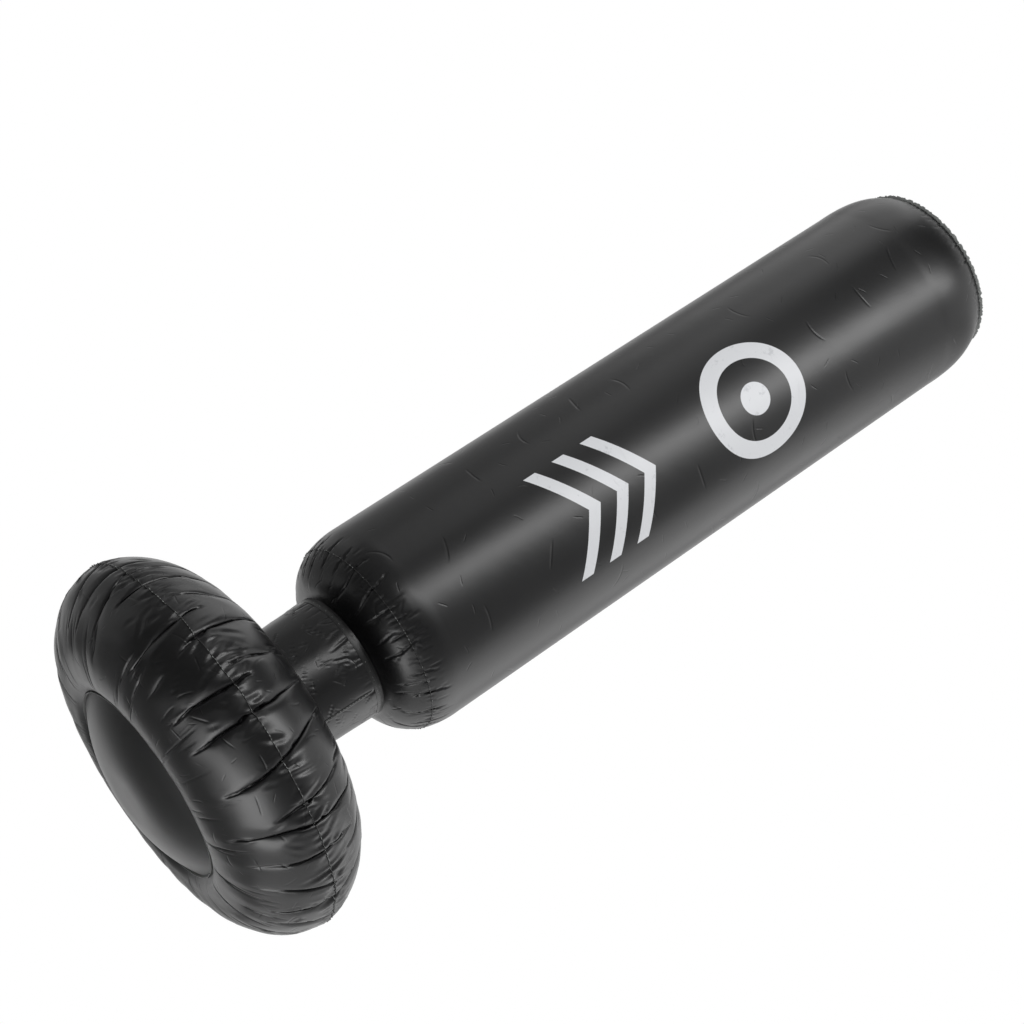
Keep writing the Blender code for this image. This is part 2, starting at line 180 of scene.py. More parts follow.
# %% Shader helpers
def new_group(name, sockets_in, sockets_out):
    """A shader node group. Gives the tree, what it is given, and where its results go."""
    tree = bpy.data.node_groups.new(name, "ShaderNodeTree")
    face = tree.interface
    for label, kind, value in sockets_in:
        socket = face.new_socket(name=label, in_out="INPUT", socket_type="NodeSocket" + kind)
        if value is not None:
            socket.default_value = value
    for label in sockets_out:
        face.new_socket(name=label, in_out="OUTPUT", socket_type="NodeSocketFloat")
    given = tree.nodes.new("NodeGroupInput").outputs
    return tree, given, tree.nodes.new("NodeGroupOutput").inputs

def feed(tree, socket, value):
    if isinstance(value, (int, float)):
        socket.default_value = value
    elif value is not None:
        tree.links.new(value, socket)

def calc(tree, operation, *values):
    node = tree.nodes.new("ShaderNodeMath")
    node.operation = operation
    for socket, value in zip(node.inputs, values):
        feed(tree, socket, value)
    return node.outputs[0]

def noise(tree, place, scale, detail=2.0, rough=0.5):
    node = tree.nodes.new("ShaderNodeTexNoise")
    feed(tree, node.inputs["Vector"], place)
    feed(tree, node.inputs["Scale"], scale)
    node.inputs["Detail"].default_value = detail
    node.inputs["Roughness"].default_value = rough
    return node.outputs["Fac"]

def in_range(tree, value, low, high, to_low=0.0, to_high=1.0):
    node = tree.nodes.new("ShaderNodeMapRange")
    node.interpolation_type = "SMOOTHSTEP"
    for label, number in (("Value", value), ("From Min", low), ("From Max", high),
                          ("To Min", to_low), ("To Max", to_high)):
        feed(tree, node.inputs[label], number)
    return node.outputs["Result"]

def below(tree, value, limit, edge):
    """1 where value is under limit, with a soft edge inside it."""
    return in_range(tree, value, limit - edge, limit, 1.0, 0.0)

def vector_step(tree, operation, first, second):
    node = tree.nodes.new("ShaderNodeVectorMath")
    node.operation = operation
    tree.links.new(first, node.inputs[0])
    if isinstance(second, tuple):
        node.inputs[1].default_value = second
    elif second is not None:
        tree.links.new(second, node.inputs[1])
    return node.outputs

def split(tree, vector):
    node = tree.nodes.new("ShaderNodeSeparateXYZ")
    feed(tree, node.inputs[0], vector)
    return node.outputs

# %% [markdown]
# ## Floor and cards
# The camera is lower than the floor, and the photograph has no floor below the bag. So the
# floor is see-through where a camera ray meets its underside. Mirrored rays pass it under the
# bag, in front of it and further out. Cards that only they meet stand around the bag: dark
# ones give the film its black, and two bright ones light the ring's pleats from below. One
# under the bag hides those two from behind. Far out, the floor fades into the white.

# %% Floor
floor_colour = (0.86, 0.86, 0.86, 1)
under_bag = (0.22, 0.27)                 # mirrored rays pass within this distance of the axis
far_out = (0.50, 0.75)                   # and from here on
window_way = (0.30, -0.95, 0)            # and everywhere towards this side
window_edge = (0.05, 0.40)
fade_out = (0.9, 3.2)                    # for the camera, the floor ends in white

def stage_material(name):
    made = bpy.data.materials.new(name)
    made.use_nodes = True
    made.node_tree.nodes.clear()
    return made, made.node_tree.nodes, made.node_tree.links

def see_through(nodes, links, share, surface):
    """Mix surface with a clear one, by share."""
    pick = nodes.new("ShaderNodeMixShader")
    links.new(share, pick.inputs["Fac"])
    links.new(surface, pick.inputs[1])
    links.new(nodes.new("ShaderNodeBsdfTransparent").outputs[0], pick.inputs[2])
    return pick.outputs[0]

def floor_material():
    made, nodes, links = stage_material("pale_floor")
    tree = made.node_tree
    paint = nodes.new("ShaderNodeBsdfDiffuse")
    paint.inputs["Color"].default_value = floor_colour
    ray = nodes.new("ShaderNodeLightPath").outputs
    underside = nodes.new("ShaderNodeNewGeometry").outputs["Backfacing"]
    spot = nodes.new("ShaderNodeTexCoord").outputs["Object"]
    reach = vector_step(tree, "LENGTH", spot, None)["Value"]
    toward = vector_step(tree, "DOT_PRODUCT", spot, window_way)["Value"]
    outer = calc(tree, "MAXIMUM", in_range(tree, reach, *far_out),
                 in_range(tree, reach, *under_bag, 1.0, 0.0))
    window = in_range(tree, calc(tree, "DIVIDE", toward, reach), *window_edge)
    passed = calc(tree, "MULTIPLY", ray["Is Glossy Ray"], calc(tree, "MAXIMUM", outer, window))
    faded = calc(tree, "MAXIMUM", underside, in_range(tree, reach, *fade_out))
    seen = calc(tree, "MULTIPLY", ray["Is Camera Ray"], faded)
    surface = see_through(nodes, links, calc(tree, "MAXIMUM", passed, seen), paint.outputs[0])
    links.new(surface, nodes.new("ShaderNodeOutputMaterial").inputs["Surface"])
    return made

def stage_sheet(name, corners, finish):
    mesh = bpy.data.meshes.new(name)
    mesh.from_pydata(corners, [], [(0, 1, 2, 3)])
    mesh.materials.append(finish)
    sheet = bpy.data.objects.new(name, mesh)
    bpy.context.scene.collection.objects.link(sheet)
    return sheet

corner_signs = ((-1, -1), (1, -1), (1, 1), (-1, 1))
half_floor, floor_height = 6.0, -0.0005
stage_sheet("floor", [(x * half_floor, y * half_floor, floor_height) for x, y in corner_signs],
            floor_material())

# %% Cards
def card(name, centre, facing, width, height, glow, one_sided=False):
    """A card that only mirrored rays meet, upright towards the point that it faces."""
    made, nodes, links = stage_material(name)
    light = nodes.new("ShaderNodeEmission")
    light.inputs["Strength"].default_value = glow
    surface = light.outputs[0]
    if one_sided:
        behind = nodes.new("ShaderNodeNewGeometry").outputs["Backfacing"]
        surface = see_through(nodes, links, behind, surface)
    links.new(surface, nodes.new("ShaderNodeOutputMaterial").inputs["Surface"])
    made.cycles.emission_sampling = "NONE"
    centre = Vector(centre)
    back = (centre - Vector(facing)).normalized()
    side = back.cross(Vector((0, 0, 1))).normalized()
    up = side.cross(back)
    corners = [centre + side * (x * width / 2) + up * (y * height / 2) for x, y in corner_signs]
    sheet = stage_sheet(name, [tuple(c) for c in corners], made)
    sheet.visible_camera = sheet.visible_diffuse = sheet.visible_shadow = False
    sheet.visible_transmission = False

# Each card is (name, centre, point that it faces, width, height, glow).
cards = [
    ("front_card", (-0.2, -4.0, 0.7), (0, 0, 0.6), 6.8, 5.0, 0.10),
    ("right_front_card", (3.4, -2.4, 0.9), (0, 0, 0.6), 2.6, 5.0, 0.35),
    ("top_card", (-0.9, -1.9, 4.4), (0, 0, 0.6), 3.1, 3.4, 0.12),
    ("left_card", (-3.9, -1.6, 0.4), (0, 0, 0.6), 3.6, 3.0, 0.22),
    ("left_back_card", (-3.5, 1.5, 3.2), (0, 0, 0.9), 4.6, 4.4, 0.42),
    ("left_back_low_card", (-3.3, 2.4, -0.9), (0, 0, 0.7), 5.2, 4.0, 0.32),
    ("right_back_card", (3.3, 1.6, 3.5), (0, 0, 0.9), 4.6, 3.2, 0.60),
    ("low_back_card", (-0.3, 1.9, -2.9), (0, 0, 0.1), 5.5, 3.4, 0.25),
    ("low_left_card", (-1.9, -1.5, -2.3), (0, 0, 0.1), 5.0, 4.2, 0.12),
    ("low_right_card", (1.25, -1.0, -1.9), (0, 0, 0.1), 1.7, 1.6, 5.0),
    ("low_front_card", (0.0, -0.85, -2.1), (0, 0, 0.1), 0.9, 0.8, 3.5),
]
for values in cards:
    card(*values)
card("under_card", (0, 0, -0.5005), (-0.5, 0.86, -0.5005), 1.6, 0.998, 0.10, one_sided=True)
print(len(cards) + 1, "cards")

# %% [markdown]
# ## Finishes
# The bag is satin black PVC film. Up close it has a fine skin, soft dents and short handling
# creases. All the black finishes share one node group for the skin and one for the creases.

# %% Film skin group
def film_skin_group():
    """Height, roughness and a slow cloud for soft PVC."""
    tree, given, result = new_group(
        "film_skin",
        [("Place", "Vector", None), ("Skin Scale", "Float", 900.0), ("Dent Scale", "Float", 30.0),
         ("Dent Depth", "Float", 0.0002), ("Roughness Low", "Float", 0.30),
         ("Roughness High", "Float", 0.42)],
        ["Height", "Roughness", "Cloud"])
    skin_depth, cloud_scale = 0.000010, 9.0
    skin = noise(tree, given["Place"], given["Skin Scale"], 3.0)
    dents = noise(tree, given["Place"], given["Dent Scale"], 2.0)
    skin_height = calc(tree, "MULTIPLY", skin, skin_depth)
    feed(tree, result["Height"],
         calc(tree, "MULTIPLY_ADD", dents, given["Dent Depth"], skin_height))
    cloud = noise(tree, given["Place"], cloud_scale, 4.0, 0.6)
    span = calc(tree, "SUBTRACT", given["Roughness High"], given["Roughness Low"])
    feed(tree, result["Roughness"],
         calc(tree, "MULTIPLY_ADD", span, cloud, given["Roughness Low"]))
    feed(tree, result["Cloud"], cloud)
    return tree

film_skin = film_skin_group()

# %% [markdown]
# A handling crease is short, nearly straight, and has a lit side and a dark side. Each cell of
# a Voronoi pattern holds one: the cell's own random colour turns it, bends it, and says
# whether it is there at all.

# %% Handling crease group
cell_spread = 0.65                       # how far a cell's middle strays, so few creases are cut
most_bend = 30.0
tip_fade = (0.4, 1.0)                    # shares of a crease's length over which it fades out
border_fade = (0.02, 0.14)               # and how near its cell's border it does so
lit_side, dark_side = 0.6, -0.8

def crease_cells(tree, given, **settings):
    node = tree.nodes.new("ShaderNodeTexVoronoi")
    node.voronoi_dimensions = "2D"
    for label, value in settings.items():
        setattr(node, label, value)
    feed(tree, node.inputs["Vector"], given["Place"])
    feed(tree, node.inputs["Scale"], given["Cells"])
    node.inputs["Randomness"].default_value = cell_spread
    return node.outputs

def crease_group():
    tree, given, result = new_group(
        "handling_creases",
        [("Place", "Vector", None), ("Cells", "Float", 14.0), ("Length", "Float", 0.014),
         ("Width", "Float", 0.0012), ("Missing", "Float", 0.5), ("Turn", "Float", 1.6)],
        ["Height"])
    cells = crease_cells(tree, given)
    from_middle = vector_step(tree, "SUBTRACT", given["Place"], cells["Position"])[0]
    across, along, _ = split(tree, from_middle)
    luck = split(tree, cells["Color"])
    angle = calc(tree, "MULTIPLY", calc(tree, "SUBTRACT", luck[0], 0.5), given["Turn"])
    cosine, sine = calc(tree, "COSINE", angle), calc(tree, "SINE", angle)
    x = calc(tree, "MULTIPLY_ADD", across, cosine, calc(tree, "MULTIPLY", along, sine))
    y = calc(tree, "SUBTRACT", calc(tree, "MULTIPLY", along, cosine),
             calc(tree, "MULTIPLY", across, sine))
    bend = calc(tree, "MULTIPLY", calc(tree, "SUBTRACT", luck[2], 0.5), most_bend)
    y = calc(tree, "MULTIPLY_ADD", calc(tree, "MULTIPLY", x, x), bend, y)
    share = calc(tree, "DIVIDE", y, given["Width"])
    fall = calc(tree, "MULTIPLY", calc(tree, "MULTIPLY", share, share), -1.0)
    ridge = calc(tree, "EXPONENT", fall)
    end = calc(tree, "ABSOLUTE", calc(tree, "DIVIDE", x, given["Length"]))
    end = in_range(tree, end, *tip_fade, 1.0, 0.0)
    border = crease_cells(tree, given, feature="DISTANCE_TO_EDGE")
    end = calc(tree, "MULTIPLY", end, in_range(tree, border["Distance"], *border_fade))
    there = calc(tree, "GREATER_THAN", luck[1], given["Missing"])
    tilt = calc(tree, "MULTIPLY_ADD", share, lit_side, dark_side)
    feed(tree, result["Height"], calc(tree, "MULTIPLY", calc(tree, "MULTIPLY", ridge, tilt),
                                      calc(tree, "MULTIPLY", end, there)))
    return tree

handling_creases = crease_group()

# %% [markdown]
# ## The print
# The column carries a plain white print: an aiming ring over three chevrons. It is drawn from
# the wall's own UV map, in metres, so that it stays on the film when the column leans.

# %% Print group
print_middle = front * column_radius + 0.022   # across the wall, from its front line
ring_height = 1.085
ring_sizes = (0.092, 0.064, 0.026)             # outer and inner edge of the ring, and the dot
chevron_count = 3
chevron_low = 0.735
chevron_pitch = 0.054
chevron_width = 0.023
chevron_reach = 0.090
chevron_slope = 0.62
print_edge, print_wobble = 0.0007, 0.0006      # the ink's soft edge, and how far it strays
print_grain = 700.0

def print_group():
    tree, given, result = new_group("white_print", [("Place", "Vector", None)], ["Mask"])
    along_u, along_v, _ = split(tree, given["Place"])
    ragged = calc(tree, "SUBTRACT", noise(tree, given["Place"], print_grain, 2.0), 0.5)
    ragged = calc(tree, "MULTIPLY", ragged, print_wobble)
    x = calc(tree, "SUBTRACT", along_u, print_middle)
    z = calc(tree, "ADD", calc(tree, "SUBTRACT", along_v, ring_height), ragged)
    far = calc(tree, "SQRT", calc(tree, "MULTIPLY_ADD", x, x, calc(tree, "MULTIPLY", z, z)))
    outer, inner, dot = ring_sizes
    from_ring = calc(tree, "ABSOLUTE", calc(tree, "SUBTRACT", far, (outer + inner) / 2))
    mask = calc(tree, "MAXIMUM", below(tree, from_ring, (outer - inner) / 2, print_edge),
                below(tree, far, dot, print_edge))
    side = calc(tree, "ABSOLUTE", x)
    from_low = calc(tree, "SUBTRACT", along_v, chevron_low)
    rise = calc(tree, "ADD", calc(tree, "MULTIPLY_ADD", side, chevron_slope, from_low), ragged)
    within = calc(tree, "MULTIPLY", calc(tree, "GREATER_THAN", rise, 0.0),
                  calc(tree, "LESS_THAN", rise, chevron_count * chevron_pitch))
    step = calc(tree, "SUBTRACT", calc(tree, "MODULO", rise, chevron_pitch), chevron_pitch / 2)
    bar = below(tree, calc(tree, "ABSOLUTE", step), chevron_width / 2, print_edge)
    bar = calc(tree, "MULTIPLY", bar, below(tree, side, chevron_reach, print_edge))
    feed(tree, result["Mask"],
         calc(tree, "MAXIMUM", mask, calc(tree, "MULTIPLY", bar, within)))
    return tree

white_print = print_group()

# %% [markdown]
# ## Black finishes
# Every black piece is the same recipe with other values: the skin gives the colour a slow
# cloud, the roughness a small range and the surface a little height. The film adds creases,
# and the wall adds the print. The welds are a shade paler than the film. The much paler finish
# of the top lip, the disc's bead and the weld marks is painted light: rim light and highlights.

# %% Black finishes
def place_group(tree, group, **values):
    node = tree.nodes.new("ShaderNodeGroup")
    node.node_tree = group
    for label, value in values.items():
        feed(tree, node.inputs[label.replace("_", " ")], value)
    return node.outputs

def mix_colour(tree, factor, first, second):
    node = tree.nodes.new("ShaderNodeMix")
    node.data_type = "RGBA"
    feed(tree, node.inputs["Factor"], factor)
    for label, colour in (("A", first), ("B", second)):
        if isinstance(colour, tuple):
            node.inputs[label].default_value = (*colour, 1)
        else:
            tree.links.new(colour, node.inputs[label])
    return node.outputs["Result"]

def new_finish(name):
    finish = bpy.data.materials.new(name)
    finish.use_nodes = True
    tree = finish.node_tree
    return finish, tree, tree.nodes["Principled BSDF"], tree.nodes.new("ShaderNodeTexCoord").outputs

def bump_by(tree, shader, height, distance):
    bump = tree.nodes.new("ShaderNodeBump")
    bump.inputs["Distance"].default_value = distance
    tree.links.new(height, bump.inputs["Height"])
    tree.links.new(bump.outputs["Normal"], shader.inputs["Normal"])

ink_worn, ink_full = (0.52, 0.53, 0.55), (0.64, 0.65, 0.67)
wear_scale, wear_range = 60.0, (0.30, 0.42)
ink_rougher = 0.08

def black_finish(name, dark, pale, low, high, skin=900.0, dents=30.0, dent_depth=0.0002,
                 creased=(), printed=False):
    """A black finish. creased and printed read the piece's own UV map, in metres."""
    finish, tree, shader, place = new_finish(name)
    parts = place_group(tree, film_skin, Place=place["Object"], Skin_Scale=skin, Dent_Scale=dents,
                        Dent_Depth=dent_depth, Roughness_Low=low, Roughness_High=high)
    colour = mix_colour(tree, parts["Cloud"], dark, pale)
    rough, height = parts["Roughness"], parts["Height"]
    for cells, length, width, missing, turn, deep in creased:
        crease = place_group(tree, handling_creases, Place=place["UV"], Cells=cells,
                             Length=length, Width=width, Missing=missing, Turn=turn)["Height"]
        height = calc(tree, "MULTIPLY_ADD", crease, deep, height)
    if printed:
        mask = place_group(tree, white_print, Place=place["UV"])["Mask"]
        worn = in_range(tree, noise(tree, place["Object"], wear_scale, 4.0, 0.7), *wear_range)
        white = mix_colour(tree, worn, ink_worn, ink_full)
        colour = mix_colour(tree, mask, colour, white)
        rough = calc(tree, "MULTIPLY_ADD", mask, ink_rougher, rough)
    tree.links.new(colour, shader.inputs["Base Color"])
    tree.links.new(rough, shader.inputs["Roughness"])
    bump_by(tree, shader, height, 1.0)
    print("finish", name)
    return finish

# Each crease layer is (cells per metre, half length, half width, share left out, turn, depth).
wall_creases = [(10, 0.024, 0.0018, 0.45, 1.2, 0.00042), (24, 0.009, 0.0010, 0.60, 2.2, 0.00024)]
ring_creases = [(24, 0.014, 0.0014, 0.45, 3.2, 0.00034), (44, 0.006, 0.0008, 0.55, 5.0, 0.00018)]
film_dark, film_pale = (0.0030, 0.0030, 0.0033), (0.0048, 0.0048, 0.0052)
column_film = black_finish("column_film", film_dark, film_pale, 0.31, 0.38,
                           creased=wall_creases, printed=True)
base_film = black_finish("base_film", film_dark, film_pale, 0.29, 0.37, creased=ring_creases)
smooth_film = black_finish("smooth_film", film_dark, film_pale, 0.33, 0.40)
weld_finish = black_finish("welds", (0.006, 0.006, 0.0065), (0.014, 0.0145, 0.014), 0.32, 0.44,
                           dents=160.0, dent_depth=0.00012)
# Painted light: this pale grey on black film stands in for the rim light and highlights on the top
# lip, the disc's bead and the weld marks.
pale_weld_painted_light = black_finish("pale_welds_painted_light", (0.130, 0.136, 0.132), (0.300, 0.312, 0.302), 0.38, 0.50,
                         dents=160.0, dent_depth=0.0001)
valve_vinyl = black_finish("valve_vinyl", (0.020, 0.020, 0.022), (0.030, 0.030, 0.032),
                           0.34, 0.44, skin=1800.0)
cap_plastic = black_finish("cap_plastic", (0.014, 0.014, 0.016), (0.022, 0.022, 0.024),
                           0.40, 0.52, skin=2500.0)
seal_rubber = black_finish("seal_rubber", (0.008, 0.008, 0.008), (0.012, 0.012, 0.012), 0.65, 0.80)

# %% [markdown]
# The water lies inside the ring, where nothing shows it. A clear shader with a faint ripple
# is enough, and it stays right if someone opens the model.

# %% Water
def water_material():
    finish, tree, shader, place = new_finish("water")
    ripple = noise(tree, place["Object"], 25.0, 2.0)
    tree.links.new(mix_colour(tree, ripple, (0.50, 0.66, 0.70), (0.62, 0.74, 0.77)),
                   shader.inputs["Base Color"])
    for label, value in (("Roughness", 0.05), ("Transmission Weight", 0.9), ("IOR", 1.33)):
        shader.inputs[label].default_value = value
    bump_by(tree, shader, ripple, 0.001)
    return finish

water_fill = water_material()

# %% [markdown]
# ## Outlines of the film
# Each sheet is turned around the bag's axis, so it is a grid: rows along the outline, columns
# around the axis. Pleats and creases are then moves of that grid.

# %% Outlines
def superellipse(share, power):
    return (1 - np.clip(share, 0, 1) ** power) ** (1 / power)

def spaced(line, count):
    """The same outline with its points at even steps."""
    line = np.array(line, float)
    run = np.r_[0, np.cumsum(np.hypot(*np.diff(line, axis=0).T))]
    at = np.linspace(0, run[-1], count)
    return np.c_[np.interp(at, run, line[:, 0]), np.interp(at, run, line[:, 1])]

def ring_lower_outline():
    """From the disc's weld out and up to the widest line."""
    inner = np.linspace(disc_radius, crown_radius, 30)
    share = (crown_radius - inner) / (crown_radius - disc_radius)
    line = list(zip(inner, ring_low + (disc_weld - ring_low) * share ** 2))
    for angle in np.linspace(math.pi / 2, 0, 160)[1:]:
        part = math.sin(angle)
        reach = (base_radius - crown_radius) * superellipse(part, ring_lower_power)
        line.append((crown_radius + reach, equator - ring_lower_height * part))
    return line

def ring_upper_outline():
    """From the widest line up over the crown and down to the neck."""
    line = []
    for angle in np.linspace(0, math.pi / 2, 160):
        part = math.sin(angle)
        reach = (base_radius - crown_radius) * superellipse(part, ring_upper_power)
        line.append((crown_radius + reach, equator + ring_upper_height * part))
    inner_half = (crown_radius - neck_low_radius) / neck_reach
    for radius in np.linspace(crown_radius, neck_low_radius, 60)[1:]:
        share = (crown_radius - radius) / inner_half
        line.append((radius, equator + ring_upper_height * superellipse(share, ring_upper_power)))
    return line

def disc_outline():
    """The bottom disc, from its middle out to its weld: flat on the floor, then lifting."""
    radii = np.linspace(0, disc_radius, 120)
    lift = np.clip(radii - foot_radius, 0, None) / (disc_radius - foot_radius)
    return list(zip(radii, disc_weld * lift ** 2))

def shoulder_outline(low, high):
    heights = np.linspace(low, high, 80)
    share = (shoulder_top - heights) / shoulder_height
    wide = column_radius - shoulder_start_radius
    return list(zip(shoulder_start_radius + wide * superellipse(share, shoulder_power), heights))

def wall_outline():
    line = shoulder_outline(shoulder_seam_height, shoulder_top)
    start = top_seam_height - top_taper_height
    for part in np.linspace(0, 1, 60):
        drawn_in = (column_radius - top_seam_radius) * part ** top_taper_power
        line.append((column_radius - drawn_in, start + top_taper_height * part))
    return line

def top_outline():
    return [(top_seam_radius * math.cos(a), top_seam_height + top_dome_height * math.sin(a))
            for a in np.linspace(0, math.pi / 2, 90)]

neck_foot = ring_upper_outline()[-1][1]

def neck_radius_at(height):
    share = (height - neck_foot) / (neck_weld_height - neck_foot)
    return neck_low_radius + (neck_high_radius - neck_low_radius) * share

print("neck foot at", round(neck_foot, 4))

# %% [markdown]
# ## From a grid to a piece
# A grid of points becomes a closed mesh with its faces outwards, is put on the body that
# carries it, and hides the CAD node that it stands for. A film sheet also gets its thickness
# and a UV map in metres, for the creases and the print.

# %% Grid helpers
def turned(line, columns):
    """Rows of points around the axis, one row for each point of the outline."""
    line = np.array(line, float)
    angle = np.arange(columns) * full_turn / columns
    around = np.stack([np.cos(angle), np.sin(angle), np.zeros(columns)], -1)
    return line[:, None, :1] * around[None] + line[:, None, 1:] * np.array([0, 0, 1.0])

def grid_normals(grid):
    along = np.roll(grid, -1, 1) - np.roll(grid, 1, 1)
    up = np.gradient(grid, axis=0)
    normal = np.cross(along, up)
    size = np.linalg.norm(normal, axis=-1, keepdims=True)
    return normal / np.maximum(size, 1e-12)

sharp_film, sharp_solid = math.radians(62), math.radians(50)

def add_piece(name, verts, faces, finish):
    mesh = bpy.data.meshes.new(name)
    mesh.from_pydata(np.asarray(verts).tolist(), [], faces)
    mesh.materials.append(finish)
    mesh.polygons.foreach_set("use_smooth", [True] * len(mesh.polygons))
    mesh.update()
    mesh.set_sharp_from_angle(angle=sharp_film)
    piece = bpy.data.objects.new(name, mesh)
    bpy.context.scene.collection.objects.link(piece)
    return piece

def join_frame(piece, body, *nodes, slot=None):
    """Put the piece on the body it rides on and hide the CAD nodes it stands for. slot is not used.
    """
    if body:
        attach(piece, body)
    if nodes:
        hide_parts(*nodes)

def report(piece, note=""):
    tris = sum(len(p.vertices) - 2 for p in piece.data.polygons)
    print(piece.name, tris, "triangles", note)

def keep_result(piece):
    """Turn what the piece's modifiers make into its plain mesh."""
    graph = bpy.context.evaluated_depsgraph_get()
    done = bpy.data.meshes.new_from_object(piece.evaluated_get(graph))
    piece.modifiers.clear()
    piece.data = done
    return done

# %% UV map and poles
def add_uv(piece, across, along):
    """A UV map in metres. across and along hold one number for each vertex."""
    mesh = piece.data
    corners = np.zeros(len(mesh.loops), int)
    mesh.loops.foreach_get("vertex_index", corners)
    u, v = across[corners], along[corners]
    starts = np.zeros(len(mesh.polygons), int)
    sizes = np.zeros(len(mesh.polygons), int)
    mesh.polygons.foreach_get("loop_start", starts)
    mesh.polygons.foreach_get("loop_total", sizes)
    last = across.max()
    face = np.repeat(np.arange(len(starts)), sizes)
    highest = np.maximum.reduceat(u, starts)
    wraps = (highest[face] - u) > last * 0.5
    girth = last + np.unique(across)[1]
    u = np.where(wraps, u + girth, u)
    layer = mesh.uv_layers.new(name="film_uv")
    layer.data.foreach_set("uv", np.stack([u, v], -1).ravel())

def close_pole(piece):
    """Merge the points that lie together on the axis."""
    edit = bmesh.new()
    edit.from_mesh(piece.data)
    middle = [v for v in edit.verts if math.hypot(v.co.x, v.co.y) < 1e-6]
    bmesh.ops.remove_doubles(edit, verts=middle, dist=1e-5)
    edit.to_mesh(piece.data)
    edit.free()

# %% Film pieces
def film_piece(name, grid, finish, body, node, uv_radius, along=None, pole=None, slot=None):
    """A closed sheet of film from its outer grid. pole is 0 or -1 where that row is a point."""
    rows, columns, _ = grid.shape
    normal = grid_normals(grid)
    if pole is not None:
        normal[pole] = (0, 0, 1 if pole else -1)
    inner = grid - normal * film_thickness
    verts = np.concatenate([grid.reshape(-1, 3), inner.reshape(-1, 3)])
    index = np.arange(rows * columns).reshape(rows, columns)
    right = np.roll(index, -1, 1)
    outer = np.stack([index[:-1], right[:-1], right[1:], index[1:]], -1).reshape(-1, 4)
    faces = outer.tolist() + (outer[:, ::-1] + rows * columns).tolist()
    for row in (0, rows - 1):
        if pole is not None and row == (rows - 1 if pole else 0):
            continue
        a, b = index[row], right[row]
        rim = np.stack([a, b, b + rows * columns, a + rows * columns], -1)
        faces += (rim[:, ::-1] if row == 0 else rim).tolist()
    piece = add_piece(name, verts, faces, finish)
    if along is None:
        along = np.r_[0, np.cumsum(np.linalg.norm(np.diff(grid, axis=0), axis=-1).mean(1))]
    u = np.tile(np.arange(columns) * full_turn / columns * uv_radius, rows)
    v = np.repeat(along, columns)
    add_uv(piece, np.r_[u, u], np.r_[v, v])
    if pole is not None:
        close_pole(piece)
    join_frame(piece, body, node, slot=slot)
    report(piece)
    return piece

# %% Solid pieces
def solid_piece(name, grid, faces, finish, body, nodes):
    """A solid from its points and faces: doubles merged, every face turned outwards."""
    piece = add_piece(name, grid.reshape(-1, 3), faces, finish)
    edit = bmesh.new()
    edit.from_mesh(piece.data)
    bmesh.ops.remove_doubles(edit, verts=edit.verts, dist=1e-6)
    bmesh.ops.dissolve_degenerate(edit, dist=1e-6, edges=edit.edges)
    bmesh.ops.recalc_face_normals(edit, faces=edit.faces)
    edit.to_mesh(piece.data)
    edit.free()
    piece.data.set_sharp_from_angle(angle=sharp_solid)
    join_frame(piece, body, *nodes)
    report(piece)
    return piece

def swept(name, grid, finish, body, nodes, closed=True):
    """A ring from its grid: the first axis runs around its section, the second all the way."""
    sides, columns = grid.shape[:2]
    index = np.arange(sides * columns).reshape(sides, columns)
    right, up = np.roll(index, -1, 1), np.roll(index, -1, 0)
    faces = np.stack([index, right, np.roll(right, -1, 0), up], -1)
    faces = (faces if closed else faces[:-1]).reshape(-1, 4).tolist()
    return solid_piece(name, grid, faces, finish, body, nodes)

def capped(name, grid, finish, body, nodes):
    """A strip from its grid: the first axis runs around it, and a face closes each end."""
    sides, rows = grid.shape[:2]
    index = np.arange(sides * rows).reshape(sides, rows)
    up = np.roll(index, -1, 0)
    faces = np.stack([index[:, :-1], index[:, 1:], up[:, 1:], up[:, :-1]], -1)
    faces = faces.reshape(-1, 4).tolist() + [index[:, 0].tolist(), index[::-1, -1].tolist()]
    return solid_piece(name, grid, faces, finish, body, nodes)

def rounded(outline, radius, closed=True, points=4):
    """An outline with its corners rounded off. An open one keeps its two ends."""
    done = []
    count = len(outline)
    most = 0.45                              # of an edge, so that two cuts never meet
    for k in range(count):
        if not closed and k in (0, count - 1):
            done.append(tuple(outline[k]))
            continue
        here = Vector(outline[k])
        to_last, to_next = Vector(outline[k - 1]) - here, Vector(outline[(k + 1) % count]) - here
        cut = min(radius, to_last.length * most, to_next.length * most)
        a, b = here + to_last.normalized() * cut, here + to_next.normalized() * cut
        for step in np.linspace(0, 1, points):
            first, second = a * (1 - step) + here * step, here * (1 - step) + b * step
            done.append(tuple(first * (1 - step) + second * step))
    return done

def lathed(name, outline, soft, columns, finish, body, nodes, closed=True, centre=(0, 0, 0),
           along_y=False):
    """Turn an outline of (radius, height) about an axis through centre."""
    grid = turned(rounded(outline, soft, closed), columns)
    if along_y:
        grid = grid[..., [0, 2, 1]]
    return swept(name, grid + np.array(centre), finish, body, nodes, closed)

# %% [markdown]
# ## How the film takes its shape
# Flat sheets were welded edge to edge and blown up. Near each weld the sheet is longer than
# the circle it has to fit, and it can't shrink, so it folds into pleats. The same happens
# here: a small cloth solver starts from the smooth outline with faint dents, tells each row
# how long it was when flat, and blows the sheet up. A Cloth modifier works in the same way,
# but slowly on a grid this fine.

# %% Cloth solver
def pull(film, first, second, rest, stretch, squeeze):
    """Move two sets of points together or apart, towards their flat distance."""
    across = film[second] - film[first]
    size = np.sqrt((across ** 2).sum(-1))
    off = size - rest
    firm = np.where(off > 0, stretch, squeeze) * off / np.maximum(size, 1e-9) * 0.5
    move = across * firm[..., None]
    film[first] += move
    film[second] -= move

